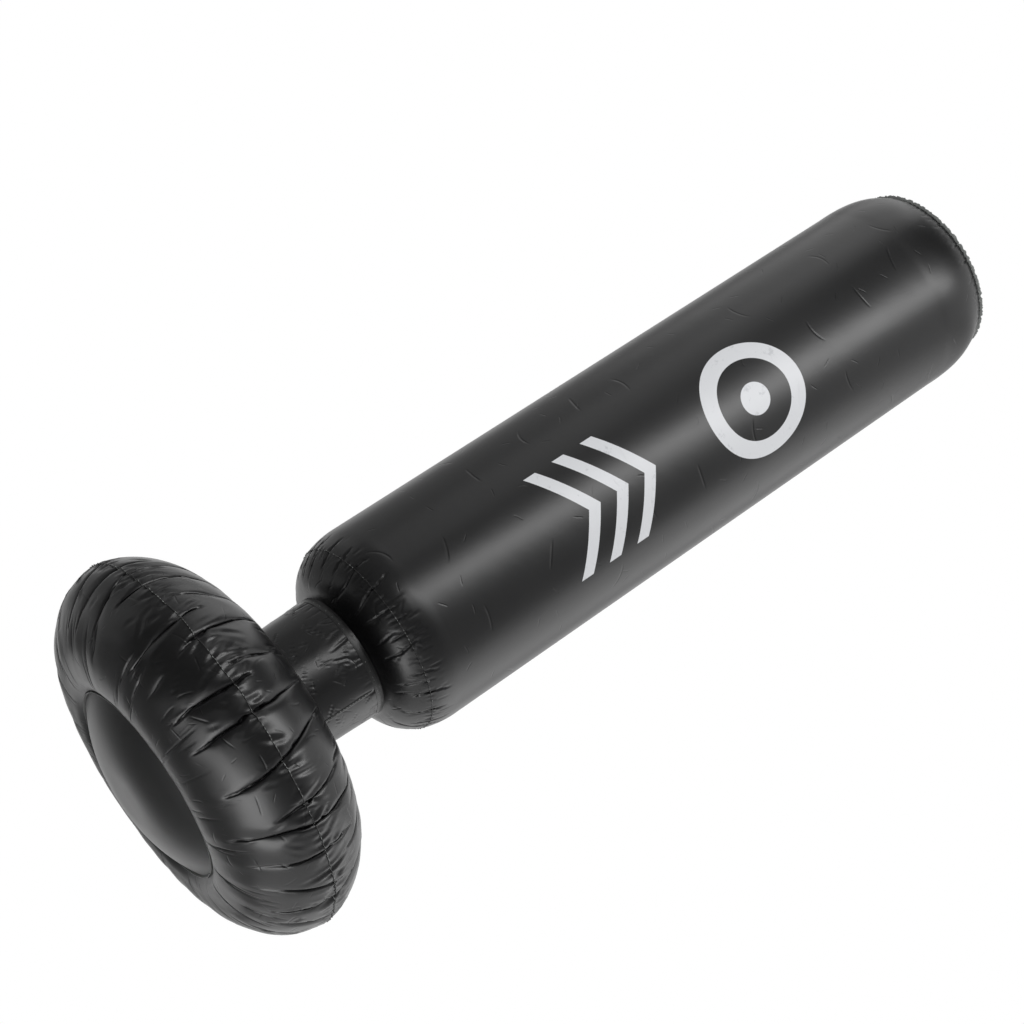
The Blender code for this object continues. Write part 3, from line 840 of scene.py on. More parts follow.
def pull_slanted(film, at, flat, firmness=0.12):
    """Hold the grid's diagonals, so that its squares don't lean."""
    for step in (1, -1):
        across = np.roll(film[at + 1], -step, 1) - film[at]
        size = np.sqrt((across ** 2).sum(-1))
        move = across * ((size - flat) / size * firmness)[..., None]
        film[at] += move
        film[at + 1] -= np.roll(move, step, 1)

def blow_up(film, hoop, run, shape, out, rounds, push, deep, proud, stiff=0.35):
    """Relax a closed ring of film. hoop and run are its flat lengths around and along."""
    rows, count, _ = film.shape
    film = film.copy()
    before = film.copy()
    ends = film[[0, 1, -2, -1]].copy()
    even, odd = np.arange(0, count, 2), np.arange(1, count, 2)
    after = (odd + 1) % count
    fours = [np.sort(np.r_[np.arange(k, count, 4), np.arange(k + 1, count, 4)]) for k in (0, 2)]
    every = slice(None)
    drag, hoop_squeeze, run_squeeze = 0.90, 0.85, 0.7
    least_span, least_run = 1.75, 0.97       # how far the film lets itself be bent
    mend, settle, level_share = 0.5, 0.2, 0.3
    for turn in range(rounds):
        speed = (film - before) * drag
        before = film.copy()
        film += speed + grid_normals(film) * push
        for _ in range(2):
            pull(film, (every, even), (every, odd), hoop[:, None], 1.0, hoop_squeeze)
            pull(film, (every, odd), (every, after), hoop[:, None], 1.0, hoop_squeeze)
            for low in (0, 1):
                at = np.arange(low, rows - 1, 2)
                pull(film, at, at + 1, run[at, None], 1.0, run_squeeze)
                pull_slanted(film, at, np.sqrt(hoop[at] ** 2 + run[at] ** 2)[:, None])
            for part in fours:
                pull(film, (every, part), (every, (part + 2) % count),
                     least_span * hoop[:, None], 0.0, stiff)
            for low in (0, 1):
                at = np.arange(low, rows - 2, 4)
                pull(film, at, at + 2, (run[at] + run[at + 1])[:, None] * least_run,
                     0.0, stiff)
            film[[0, 1, -2, -1]] = ends
        offset = ((film - shape) * out).sum(-1)
        fix = np.clip(offset, -deep, proud) - offset
        film += out * (fix * mend)[..., None]
        level = offset.mean(1, keepdims=True)
        film -= out * (np.maximum(level - proud * level_share, 0) * settle)[..., None]
        film[[0, 1, -2, -1]] = ends
    return film

# %% [markdown]
# ## Folds
# The solver needs to be told where folds start. A fold crosses a weld, fades at both ends and
# may lean. Faint ones are dents in the sheet before it is blown up, and the solver makes them
# into pleats. The small sharp ones are pressed into the film afterwards, with raised
# shoulders, because they are finer than the solver's own stiffness allows.

# %% Scattered folds
# A fold is (how many, evenly, lean, below, above, width, depth, shift): all after evenly are
# ranges, lean as a slope and the others in metres. Below and above are how far it runs on each
# side of the weld, or of a line that lies by shift above it.
narrowest = 0.02                         # near the axis, folds are spaced as on this radius

def scattered(folds, rng, stray):
    """Each fold's place around the axis and its own values, drawn in order."""
    for many, evenly, *ranges in folds:
        for k in range(many):
            if evenly:
                middle = (k + rng.uniform(-stray, stray)) * full_turn / many
            else:
                middle = rng.uniform(0, full_turn)
            yield middle, [rng.uniform(*pair) for pair in ranges]

def fold_rows(line, angles, from_weld, middle, lean, below, above, width, shift):
    """The rows that a fold crosses, how strong it is there, and how far off its line they are."""
    at = from_weld - shift
    fade = np.clip(1 - (at / np.where(at < 0, below, above)) ** 2, 0, 1)
    for row in np.nonzero(fade > 0)[0]:
        radius = max(line[row, 0], narrowest)
        turn = (angles - middle - lean * at[row] / radius + math.pi) % full_turn - math.pi
        yield row, fade[row], np.abs(turn * radius / width)

def dented(line, angles, from_weld, rng, folds):
    """How deep the faint dents lie under the smooth outline."""
    depth = np.zeros((len(line), len(angles)))
    for middle, (lean, below, above, width, deep, shift) in scattered(folds, rng, 0.32):
        for row, fade, share in fold_rows(line, angles, from_weld, middle, lean, below, above,
                                          width, shift):
            depth[row] += deep * fade * np.exp(-share ** 1.6)
    return depth

def crimp(film, line, angles, from_weld, rng, folds):
    """Press small sharp folds into the blown film. Each has a low line and raised shoulders."""
    side_rise, side_place, side_width = 0.45, 1.9, 0.8
    lowest, highest = -0.0035, 0.0012
    normal = grid_normals(film)
    rise = np.zeros(film.shape[:2])
    for middle, (lean, below, above, width, deep, shift) in scattered(folds, rng, 0.4):
        for row, fade, share in fold_rows(line, angles, from_weld, middle, lean, below, above,
                                          width, shift):
            sides = np.exp(-((share - side_place) / side_width) ** 2)
            rise[row] -= deep * fade * (np.exp(-share ** 1.5) - side_rise * sides)
    return film + normal * np.clip(rise, lowest, highest)[..., None]

# %% [markdown]
# A pleated film is made in one go: the dents, the solver, and then the small folds. Its first
# and last rows stay on the smooth outline, so that the next piece meets them.

# %% Pleated film
def outline_normals(line):
    slope = np.gradient(line, axis=0)
    normal = np.stack([slope[:, 1], -slope[:, 0]], -1)
    return normal / np.linalg.norm(normal, axis=1, keepdims=True)

def pleated(line, weld_row, count, seed, folds, spare, reach, rounds, push, proud=0.003,
            slack=1.45, small=(), calm=None):
    """Blow up a turned outline whose rows near the weld are longer than their circles.

    spare is how much longer they are at the weld, and reach how far that goes below and above
    it. calm is a place where a valve keeps the film smooth, and how far around it.
    """
    rng = np.random.default_rng(seed)
    angles = np.arange(count) * full_turn / count
    run = np.hypot(*np.diff(line, axis=0).T)
    height = np.r_[0, np.cumsum(run)]
    from_weld = height - height[weld_row]
    depth = dented(line, angles, from_weld, rng, folds)
    least_sink, unevenness, fall = 0.0012, 0.00015, 1.2
    allowed = least_sink + slack * depth
    depth += rng.normal(0, unevenness, depth.shape)
    out_line = outline_normals(line)
    around = np.stack([np.cos(angles), np.sin(angles)], -1)
    out = np.concatenate([out_line[:, None, :1] * around[None],
                          np.repeat(out_line[:, None, 1:], count, 1)], -1)
    shape = turned(line, count)
    start = shape - out * depth[..., None]
    start[[0, 1, -2, -1]] = shape[[0, 1, -2, -1]]
    away = np.where(from_weld < 0, reach[0], reach[1])
    longer = spare * np.clip(1 - np.abs(from_weld) / away, 0, 1) ** fall
    hoop = line[:, 0] * full_turn / count * (1 + longer)
    rounds = rounds
    film = blow_up(start, hoop, run, shape, out, rounds, push, allowed, proud)
    held = 0.02                              # the film's two edges stay on the smooth outline
    free = np.clip(np.minimum(height, height[-1] - height) / held, 0, 1)
    free = (free * free * (3 - 2 * free))[:, None, None]
    film = crimp(film, line, angles, from_weld, rng, small)
    if calm:
        away = np.linalg.norm(shape - np.array(calm[0]), axis=-1)
        free = free * np.clip((away - calm[1]) / calm[1], 0, 1)[..., None]
    film = shape + (film - shape) * free
    radii = np.hypot(film[..., 0], film[..., 1])
    print("weld radius", radii[weld_row].min().round(4), "to", radii[weld_row].max().round(4),
          "greatest", radii.max().round(4))
    return film

# %% [markdown]
# ## Base ring
# Two round sheets welded along the widest line. The weld is about a fifth longer than that
# line, which gives the long pleats across it and the short gathers between them.

# %% Pleat the base ring
clock = time.time()
ring_lower_line = spaced(ring_lower_outline(), 42)
ring_upper_line = spaced(ring_upper_outline(), 54)
ring_line = np.vstack([ring_lower_line, ring_upper_line[1:]])
ring_weld_row = len(ring_lower_line) - 1
ring_folds = [
    (44, True, (-0.2, 0.2), (0.055, 0.092), (0.055, 0.105), (0.0055, 0.0080),
     (0.0060, 0.0092), (0, 0)),
    (70, False, (-0.4, 0.4), (0.015, 0.045), (0.015, 0.050), (0.004, 0.006),
     (0.002, 0.0045), (-0.02, 0.03)),
]
ring_crimps = [
    (180, False, (-0.6, 0.6), (0.006, 0.024), (0.008, 0.030), (0.0021, 0.0036),
     (0.0010, 0.0023), (-0.006, 0.014)),
    (150, False, (-1.2, 1.2), (0.006, 0.014), (0.006, 0.014), (0.0020, 0.0032),
     (0.0007, 0.0016), (-0.06, 0.05)),
    (60, False, (-0.4, 0.4), (0.02, 0.05), (0.02, 0.05), (0.0025, 0.0040),
     (0.0008, 0.0020), (-0.02, 0.03)),
]
filler_place = (0, crown_radius, crown)
ring_film = pleated(ring_line, ring_weld_row, 900, seed=11, folds=ring_folds, spare=0.21,
                    reach=(0.12, 0.15), rounds=110, push=0.00010, proud=0.0024,
                    small=ring_crimps, calm=(filler_place, 0.026))
ring_lower = film_piece("ring_lower_sheet", ring_film[:ring_weld_row + 1], base_film, "base",
                        "base_lower_panel", uv_radius=0.24)
ring_upper = film_piece("ring_upper_sheet", ring_film[ring_weld_row:], base_film, "base",
                        "base_upper_panel", uv_radius=0.24)
print("ring solved in", round(time.time() - clock, 1), "seconds")

# %% [markdown]
# ## Weld lips
# Two sheets melted together leave a thin lip outside the weld. It follows every pleat of the
# film, so it is swept along the film's own weld row, and it waves where the film is gathered.

# %% Weld lips
def weld_lip(name, row, width, inside, finish, body, nodes, wave, waves, seed, rise=0.0):
    """A lip along a row of the film, standing out width past it and rising by rise of that."""
    thickness, gathered = 0.0010, 0.25
    count = len(row)
    rng = np.random.default_rng(seed)
    angle = np.arange(count) * full_turn / count
    out = np.stack([np.cos(angle), np.sin(angle), np.zeros(count)], -1)
    swell = sum(rng.uniform(0.4, 1) * np.sin(angle * n + rng.uniform(0, full_turn))
                for n in (waves, int(waves * 0.73), int(waves * 1.31))) / 2
    half, soft = thickness / 2, thickness * 0.3
    section = [(-inside, -half), (width - soft, -half), (width, -half + soft),
               (width, half - soft), (width - soft, half), (-inside, half)]
    grid = []
    for reach, high in section:
        share = max(reach, 0) / width
        far = reach * (1 - gathered * np.abs(swell)) if reach > 0 else np.full(count, reach)
        up = high + wave * swell * share + rise * max(reach, 0)
        grid.append(row + out * far[:, None] + np.array([0, 0, 1.0]) * up[:, None])
    return swept(name, np.array(grid), finish, body, nodes)

weld_lip("ring_weld_lip", ring_film[ring_weld_row], 0.0016, 0.002, weld_finish, "base",
         ["base_equator_seam"], wave=0.0004, waves=90, seed=3)

# %% [markdown]
# ## Weld marks
# The weld's tool leaves a row of short raised marks. Their pale colour is a painted highlight,
# the same as on the weld lips. They repeat along a path, so Geometry Nodes place them: the path
# is resampled, some points are left out at random, and a flattened bead lands on each of the
# others.

# %% Geometry Nodes helpers
def geometry_tree(name, start, sizes, result):
    """A Geometry Nodes tree: one mesh, named sizes and a finish in, and one mesh out."""
    tree = bpy.data.node_groups.new(name, "GeometryNodeTree")
    face = tree.interface
    sockets = [(start, "Geometry", None)] + sizes + [("Finish", "Material", None)]
    for label, kind, value in sockets:
        socket = face.new_socket(name=label, in_out="INPUT", socket_type="NodeSocket" + kind)
        if value is not None:
            socket.default_value = value
    face.new_socket(name=result, in_out="OUTPUT", socket_type="NodeSocketGeometry")
    return tree, tree.nodes.new("NodeGroupInput").outputs

def put_node(tree, kind, inputs=None, **settings):
    """Add a node, set its options, and feed its inputs by name."""
    node = tree.nodes.new(kind)
    for label, value in settings.items():
        setattr(node, label, value)
    for label, value in (inputs or {}).items():
        feed(tree, node.inputs[label], value)
    return node.outputs

def sized_bead(tree, given, segments, rings, labels):
    """A round bead, one unit across, scaled by the three named inputs."""
    bead = put_node(tree, "GeometryNodeMeshUVSphere",
                    {"Segments": segments, "Rings": rings, "Radius": 0.5})
    size = put_node(tree, "ShaderNodeCombineXYZ", {a: given[b] for a, b in zip("XYZ", labels)})
    return put_node(tree, "GeometryNodeTransform",
                    {"Geometry": bead["Mesh"], "Scale": size[0]})["Geometry"]

def end_tree(tree, given, geometry, result):
    """Shade it smooth, give it its finish, and hand it out."""
    smooth = put_node(tree, "GeometryNodeSetShadeSmooth", {"Geometry": geometry})
    paint = put_node(tree, "GeometryNodeSetMaterial",
                     {"Geometry": smooth["Geometry"], "Material": given["Finish"]})
    tree.links.new(paint["Geometry"], tree.nodes.new("NodeGroupOutput").inputs[result])
    return tree

def run_tree(name, tree, path_mesh, **values):
    """Run a Geometry Nodes tree on a mesh and keep its result as a plain mesh."""
    piece = bpy.data.objects.new(name, path_mesh)
    bpy.context.scene.collection.objects.link(piece)
    nodes = piece.modifiers.new("nodes", "NODES")
    nodes.node_group = tree
    for item in tree.interface.items_tree:
        if item.item_type == "SOCKET" and item.in_out == "INPUT" and item.name in values:
            nodes[item.identifier] = values[item.name]
    done = keep_result(piece)
    done.name = name
    done.materials.clear()
    done.materials.append(values["Finish"])
    done.polygons.foreach_set("material_index", [0] * len(done.polygons))
    return piece

# %% Weld marks
mark_smallest, mark_largest = 0.55, 1.15

def marks_tree():
    tree, given = geometry_tree(
        "weld_marks", "Path",
        [("Count", "Int", 100), ("Length", "Float", 0.004), ("Width", "Float", 0.0006),
         ("Height", "Float", 0.0004), ("Kept", "Float", 0.6), ("Seed", "Int", 1)], "Marks")
    line = put_node(tree, "GeometryNodeMeshToCurve", {"Mesh": given["Path"]})
    steps = put_node(tree, "GeometryNodeResampleCurve",
                     {"Curve": line["Curve"], "Count": given["Count"]}, mode="COUNT")
    bead = sized_bead(tree, given, 8, 6, ("Length", "Width", "Height"))
    tangent = put_node(tree, "GeometryNodeInputTangent")[0]
    along = put_node(tree, "FunctionNodeAlignRotationToVector", {"Vector": tangent}, axis="X")
    kept = put_node(tree, "FunctionNodeRandomValue",
                    {"Probability": given["Kept"], "Seed": given["Seed"]}, data_type="BOOLEAN")
    scale = tree.nodes.new("FunctionNodeRandomValue")
    scale.data_type = "FLOAT"
    scale.inputs[2].default_value, scale.inputs[3].default_value = mark_smallest, mark_largest
    feed(tree, scale.inputs["Seed"], given["Seed"])
    marks = put_node(tree, "GeometryNodeInstanceOnPoints",
                     {"Points": steps["Curve"], "Selection": kept[3], "Instance": bead,
                      "Rotation": along["Rotation"], "Scale": scale.outputs[1]})
    real = put_node(tree, "GeometryNodeRealizeInstances", {"Geometry": marks["Instances"]})
    return end_tree(tree, given, real["Geometry"], "Marks")

weld_marks = marks_tree()

def mark_weld(name, points, closed, body, count, length, width, height, kept, seed):
    """Marks along a line of points, pale with painted highlight."""
    mesh = bpy.data.meshes.new(name + "_path")
    last = len(points)
    edges = [(k, (k + 1) % last) for k in range(last if closed else last - 1)]
    mesh.from_pydata(np.asarray(points).tolist(), edges, [])
    piece = run_tree(name, weld_marks, mesh, Count=count, Length=length, Width=width,
                     Height=height, Kept=kept, Seed=seed, Finish=pale_weld_painted_light)
    join_frame(piece, body, slot="welds")
    report(piece)
    return piece

def outside(row, reach):
    """The row's points, moved out from the axis."""
    away = row * np.array([1, 1, 0])
    return row + away / np.linalg.norm(away, axis=-1, keepdims=True) * reach

mark_weld("ring_weld_marks", outside(ring_film[ring_weld_row], 0.0016), True, "base", count=420,
          length=0.0042, width=0.0009, height=0.0009, kept=0.62, seed=7)

# %% [markdown]
# ## Bottom disc
# A round sheet closes the bottom. The bag's weight presses its middle flat, and from there it
# lifts to its weld. It hardly folds, so it is turned plain, with a smooth finish. Its weld is
# a bead that hangs on the outside, where the two sheets were pressed together.

# %% Bottom disc
disc = film_piece("bottom_disc_sheet", turned(spaced(disc_outline(), 44), 192), smooth_film,
                  "base", "bottom_disc", uv_radius=0.1, pole=0)
bead_top, bead_low = disc_weld + 0.0010, disc_weld - 0.0040
# The bead's pale colour is a painted highlight along the weld.
lathed("disc_weld_bead", [(disc_radius - 0.003, bead_top), (disc_radius + 0.002, bead_top),
                          (disc_radius + 0.0014, bead_low), (disc_radius + 0.0002, bead_low)],
       0.0005, 320, pale_weld_painted_light, "base", ["bottom_disc_seam"])

# %% [markdown]
# ## Inside the ring
# The core tube and the water can't be seen, but they are part of the bag. The pleats reach
# further in than the CAD sheet, so the water stops a little further from the film here.

# %% Core tube and water
core_low, core_low_radius = disc_weld + 0.003, disc_radius - 0.005
core_high = neck_foot - 0.0045
water_level = equator - 0.006
water_inset = 0.016                      # room for the pleats
water_foot = core_low + 0.012
core_line = [(core_low_radius, core_low), (neck_low_radius, core_high)]
film_piece("core_tube_sheet", turned(spaced(core_line, 30), 192), smooth_film, "base",
           "base_core_tube", uv_radius=0.11)

def water_outline():
    """Inside the ring's lower sheet, level at the top, and down along the core tube."""
    shrink, lift = 1 - water_inset / (base_radius - crown_radius), water_inset * 0.6
    raised = [(crown_radius + (r - crown_radius) * shrink, z + lift, r)
              for r, z in spaced(ring_lower_outline(), 30)]
    outer = [(r, z) for r, z, film_r in raised
             if film_r > crown_radius and z < water_level - 0.002]
    slope = (neck_low_radius - core_low_radius) / (neck_foot - core_low)
    wall = [(core_low_radius + slope * (z - core_low) + 0.003, z)
            for z in (water_level, water_foot)]
    return outer + [(outer[-1][0] + 0.001, water_level)] + wall

lathed("water_in_ring", water_outline(), 0.002, 128, water_fill, "base", ["water_ballast"])

# %% [markdown]
# ## Column
# The wall is one sheet rolled into a tube, with a round panel welded into each end. The short
# puckers at both welds come from the same solver. The middle of the wall is smooth, and its
# small handling creases are in the finish.

# %% Outlines and folds of the column
clock = time.time()
wall_columns = 480
low_end, high_start, plain_rows = 0.531, 1.454, 12
shoulder_line = spaced([(neck_high_radius, neck_weld_height)] +
                       shoulder_outline(neck_weld_height + 0.001, shoulder_seam_height), 24)
wall_line = np.array(wall_outline())
wall_low = spaced([p for p in wall_line if p[1] < low_end], 38)
wall_high = spaced([p for p in wall_line if p[1] > high_start], 38)
wall_middle = [(column_radius, z)
               for z in np.linspace(wall_low[-1, 1], wall_high[0, 1], 30)[1:-1]]
top_line = spaced(top_outline(), 56)
low_part = np.vstack([shoulder_line, wall_low[1:]])
high_part = np.vstack([wall_high, top_line[1:-plain_rows]])
low_folds = [
    (52, True, (-0.4, 0.4), (0.012, 0.032), (0.006, 0.016), (0.003, 0.005),
     (0.0012, 0.0028), (0, 0)),
    (26, True, (-0.3, 0.3), (0.02, 0.03), (0.02, 0.03), (0.003, 0.006),
     (0.001, 0.003), (-0.035, -0.02)),
]
low_crimps = [
    (90, True, (-0.3, 0.3), (0.004, 0.014), (0.002, 0.008), (0.0014, 0.0024),
     (0.0006, 0.0014), (-0.003, 0.002)),
    (60, False, (-0.9, 0.9), (0.005, 0.012), (0.005, 0.012), (0.0014, 0.0024),
     (0.0004, 0.0010), (-0.03, 0.012)),
]
high_folds = [
    (64, True, (-0.3, 0.3), (0.006, 0.018), (0.010, 0.032), (0.0028, 0.0042),
     (0.0010, 0.0022), (0, 0)),
]
high_crimps = [
    (62, True, (-0.2, 0.2), (0.003, 0.009), (0.003, 0.010), (0.0014, 0.0024),
     (0.0005, 0.0012), (-0.001, 0.002)),
]

# %% Pucker the column's two welds
low_film = pleated(low_part, len(shoulder_line) - 1, wall_columns, seed=5, folds=low_folds,
                   spare=0.10, reach=(0.050, 0.030), rounds=80, push=0.00006, proud=0.0006,
                   small=low_crimps)
high_film = pleated(high_part, len(wall_high) - 1, wall_columns, seed=6, folds=high_folds,
                    spare=0.08, reach=(0.025, 0.045), rounds=80, push=0.00006, proud=0.0006,
                    small=high_crimps)
shoulder_rows = len(shoulder_line)
shoulder_film = low_film[:shoulder_rows]
wall_film = np.concatenate([low_film[shoulder_rows - 1:], turned(wall_middle, wall_columns),
                            high_film[:len(wall_high)]])
wall_heights = np.r_[wall_low[:, 1], [z for _, z in wall_middle], wall_high[:, 1]]
top_film = np.concatenate([high_film[len(wall_high) - 1:],
                           turned(top_line[-plain_rows:], wall_columns)])
shoulder_piece = film_piece("column_shoulder_sheet", shoulder_film, base_film, "column",
                            "column_shoulder_panel", uv_radius=0.13, slot="column_film")
wall_piece = film_piece("column_wall_sheet", wall_film, column_film, "column", "column_wall",
                        uv_radius=column_radius, along=wall_heights)
top_piece = film_piece("column_top_sheet", top_film, base_film, "column", "column_top_panel",
                       uv_radius=0.1, pole=-1, slot="column_film")
weld_lip("shoulder_weld_lip", shoulder_film[-1], 0.0014, 0.0015, weld_finish, "column",
         ["column_shoulder_seam"], wave=0.0004, waves=60, seed=4)
# This lip is tilted up by rise and coloured pale: the pale colour is painted rim light.
weld_lip("top_weld_lip", top_film[0], 0.0044, 0.0015, pale_weld_painted_light, "column", ["column_top_seam"],
         wave=0.0013, waves=62, seed=5, rise=0.62)
mark_weld("shoulder_weld_marks", outside(shoulder_film[-1], 0.0013), True, "column", count=190,
          length=0.0034, width=0.0008, height=0.0008, kept=0.5, seed=8)
print("column solved in", round(time.time() - clock, 1), "seconds")

# %% [markdown]
# ## Lengthwise welds
# The wall and the neck are sheets rolled into tubes, so each has a weld along its length. The
# strip is laid on the film's own grid, so it goes over the same puckers.

# %% Lengthwise welds
back_weld_angle = math.radians(121.5)
neck_weld_angle = math.radians(-49.5)

def column_at(angle, count):
    return int(round(angle / full_turn * count)) % count

def strip_on(film, angle, wide, low_row, high_row):
    """A thin closed strip on the film: wide columns across, from row to row."""
    sunk, edge_height, middle_height = 0.0001, 0.00012, 0.0006
    count = film.shape[1]
    first = column_at(angle, count)
    columns = np.arange(first, first + wide) % count
    part = film[low_row:high_row][:, columns]
    normal = grid_normals(film)[low_row:high_row][:, columns]
    across = np.linspace(-1, 1, wide)[None, :, None]
    top = part + normal * (edge_height + middle_height * (1 - across ** 4))
    base = part - normal * sunk
    return np.concatenate([top, base[:, ::-1]], 1).transpose(1, 0, 2)

capped("wall_back_weld", strip_on(wall_film, back_weld_angle, 5, 2, len(wall_film) - 2),
       weld_finish, "column", ["column_side_seam"])

# %% [markdown]
# ## Neck
# A soft tube between the ring and the column. Two joints share its bend, and a piece can
# blend across one joint only, so the tube is two halves. Both halves are shaded as one sheet,
# so that no line shows between them. The tube's upper end is gathered by the shoulder's weld.

# %% Shape of the neck
neck_columns = 320
neck_split = 0.290                       # where the two halves meet
neck_gather = 0.362                      # where the shoulder's weld gathers the tube
neck_weld_low, neck_weld_high = 0.2165, 0.3575
neck_line = spaced([(neck_radius_at(z), z)
                    for z in (neck_foot - 0.003, neck_weld_height + 0.002)], 56)
neck_folds = [
    (22, False, (-0.9, 0.9), (0.008, 0.026), (0.01, 0.02), (0.002, 0.004),
     (0.0005, 0.0014), (-0.006, 0)),
    (16, False, (-2.5, 2.5), (0.010, 0.020), (0.010, 0.020), (0.0024, 0.0040),
     (0.0008, 0.0016), (-0.075, -0.01)),
]
neck_crimps = [
    (70, False, (-3.0, 3.0), (0.004, 0.011), (0.004, 0.011), (0.0011, 0.0019),
     (0.0005, 0.0013), (-0.085, 0.002)),
]

def neck_row(height):
    return int(np.argmin(np.abs(neck_line[:, 1] - height)))

neck_film = pleated(neck_line, neck_row(neck_gather), neck_columns, seed=9, folds=neck_folds,
                    spare=0.03, reach=(0.035, 0.02), rounds=60, push=0.00005, proud=0.0010,
                    small=neck_crimps)
split_row, low_row, high_row = map(neck_row, (neck_split, neck_weld_low, neck_weld_high))

# %% Neck sleeve and its weld
def keep_shading(piece, normal):
    """Shade a part of a film as the whole film, so that no line shows where it is split."""
    flat = normal.reshape(-1, 3)
    piece.data.normals_split_custom_set_from_vertices(np.concatenate([flat, -flat]).tolist())

neck_normals = grid_normals(neck_film)
weld_path = outside(neck_film[:, column_at(neck_weld_angle, neck_columns) + 1], 0.0008)

def neck_half(name, rows, weld_rows, mark_rows, seed):
    """One half of the sleeve, its part of the lengthwise weld, and the marks on that."""
    sleeve = film_piece(name + "_sleeve", neck_film[rows], base_film, None, "neck_sleeve",
                        uv_radius=0.095, slot="neck_film")
    keep_shading(sleeve, neck_normals[rows])
    weld = capped(name + "_side_weld", strip_on(neck_film, neck_weld_angle, 4, *weld_rows),
                  weld_finish, None, ["neck_side_seam"])
    marks = mark_weld(name + "_marks", weld_path[mark_rows], False, None, count=12,
                      length=0.0040, width=0.0008, height=0.0007, kept=0.75, seed=seed)
    return sleeve, weld, marks

neck_lower = neck_half("neck_lower", slice(None, split_row + 1), (low_row, split_row + 1),
                       slice(low_row, split_row - 1), 9)
neck_upper = neck_half("neck_upper", slice(split_row, None), (split_row, high_row),
                       slice(split_row + 1, high_row), 10)

# %% [markdown]
# ## Neck bands
# A flat band runs around each end of the neck, where it is welded on. It is a turned ring
# that follows the tube's slight cone, with the same pale marks along its middle.

# %% Neck bands
def neck_band(name, low, high, body, node):
    """A band around the neck between two heights."""
    under, over = 0.0002, 0.0008
    outline = [(neck_radius_at(low) + under, low), (neck_radius_at(low) + over, low),
               (neck_radius_at(high) + over, high), (neck_radius_at(high) + under, high)]
    lathed(name, outline, 0.0003, 240, weld_finish, body, [node])
    middle_line = turned([(neck_radius_at(low) + over, (low + high) / 2)], 240)[0]
    mark_weld(name + "_marks", middle_line, True, body, count=120, length=0.0036, width=0.0007,
              height=0.0006, kept=0.6, seed=12)

neck_band("neck_upper_band", 0.3590, 0.3670, "column", "neck_upper_seam")
neck_band("neck_lower_band", neck_foot + 0.004, neck_foot + 0.012, "base", "neck_lower_seam")

# %% [markdown]
# ## Holes for the valves
# The air valve goes through the wall at the back, and the water filler through the crown of
# the ring. Each hole is cut with a Boolean, and the plain result is kept.

# %% Holes
gap = 0.0003
valve_height = 0.560

def bore(piece, centre, radius, along_y):
    """Cut a round hole through a piece of film."""
    drill = bpy.data.meshes.new("drill")
    edit = bmesh.new()
    bmesh.ops.create_cone(edit, cap_ends=True, segments=48, radius1=radius, radius2=radius,
                          depth=0.02)
    turn = Matrix.Rotation(math.pi / 2, 4, "X") if along_y else Matrix()
    bmesh.ops.transform(edit, matrix=Matrix.Translation(centre) @ turn, verts=edit.verts)
    edit.to_mesh(drill)
    edit.free()
    tool = bpy.data.objects.new("drill", drill)
    bpy.context.scene.collection.objects.link(tool)
    cut = piece.modifiers.new("hole", "BOOLEAN")
    cut.operation, cut.solver, cut.object = "DIFFERENCE", "EXACT", tool
    done = keep_result(piece)
    bpy.data.objects.remove(tool)
    done.set_sharp_from_angle(angle=sharp_film)
    report(piece, "with its hole")

bore(wall_piece, (0, column_radius, valve_height), 0.0095, along_y=True)
bore(ring_upper, (0, crown_radius, crown), 0.0122, along_y=False)

# %% [markdown]
# ## Air valve
# A push-in valve of soft vinyl, at the back near the floor end of the column. Its stem pushes
# in flush, a thin web lets it, and a plug on a strap closes it. The pieces are turned, with
# soft edges, and the web is a cone that follows the flange at its rim and the stem inside.

# %% Air valve sizes
flange_face = column_radius + gap
flange_radius, flange_thickness = 0.016, 0.0010
outer_face = flange_face + flange_thickness
stem_radius, stem_bore = 0.0065, 0.0045
stem_outside, stem_inside = 0.0120, 0.0040
mouth = outer_face + stem_outside
stem_back = column_radius - stem_inside
web_width = 0.0027
flange_inner = stem_radius + web_width + 2 * gap
web_rim, web_foot = flange_face + 0.0005, flange_face + 0.0030
plug_radius, plug_head = 0.0075, 0.0016
plug_face = mouth + gap
plug_top = plug_face + plug_head
flap_face = stem_back - gap
valve_axis = (0, 0, valve_height)

# %% Air valve
def valve_part(name, outline, soft, columns, finish, body, node, closed=True):
    """A turned part on the valve's axis. Its outline is (radius, distance from the bag's axis)."""
    return lathed(name, outline, soft, columns, finish, body, [node], closed, valve_axis, True)

valve_part("valve_flange",
           [(flange_inner, flange_face), (flange_inner, outer_face + 0.0002),
            (flange_inner + 0.0012, outer_face + 0.0002),
            (flange_inner + 0.0018, outer_face - 0.0002),
            (flange_radius - 0.0022, outer_face - 0.0002),
            (flange_radius - 0.0014, outer_face + 0.0001),
            (flange_radius, outer_face - 0.0003), (flange_radius, flange_face)],
           0.0004, 96, valve_vinyl, "column", "air_valve_flange")
web = valve_part("valve_web",
                 [(flange_inner - 0.0001, web_rim - 0.0002),
                  (flange_inner - 0.0001, web_rim + 0.0003),
                  (stem_radius + 0.0014, web_rim + 0.0012),
                  (stem_radius + 0.0001, web_foot + 0.0004),
                  (stem_radius + 0.0001, web_foot - 0.0003),
                  (stem_radius + 0.0012, web_rim + 0.0006)],
                 0.0003, 64, valve_vinyl, None, "air_valve_web")
valve_part("valve_stem",
           [(stem_bore, stem_back), (stem_bore, mouth), (stem_radius, mouth),
            (stem_radius, mouth - 0.0016), (stem_radius - 0.0005, mouth - 0.0022),
            (stem_radius - 0.0005, mouth - 0.0080), (stem_radius, mouth - 0.0088),
            (stem_radius, stem_back)],
           0.0004, 64, valve_vinyl, "air_stem", "air_valve_stem")
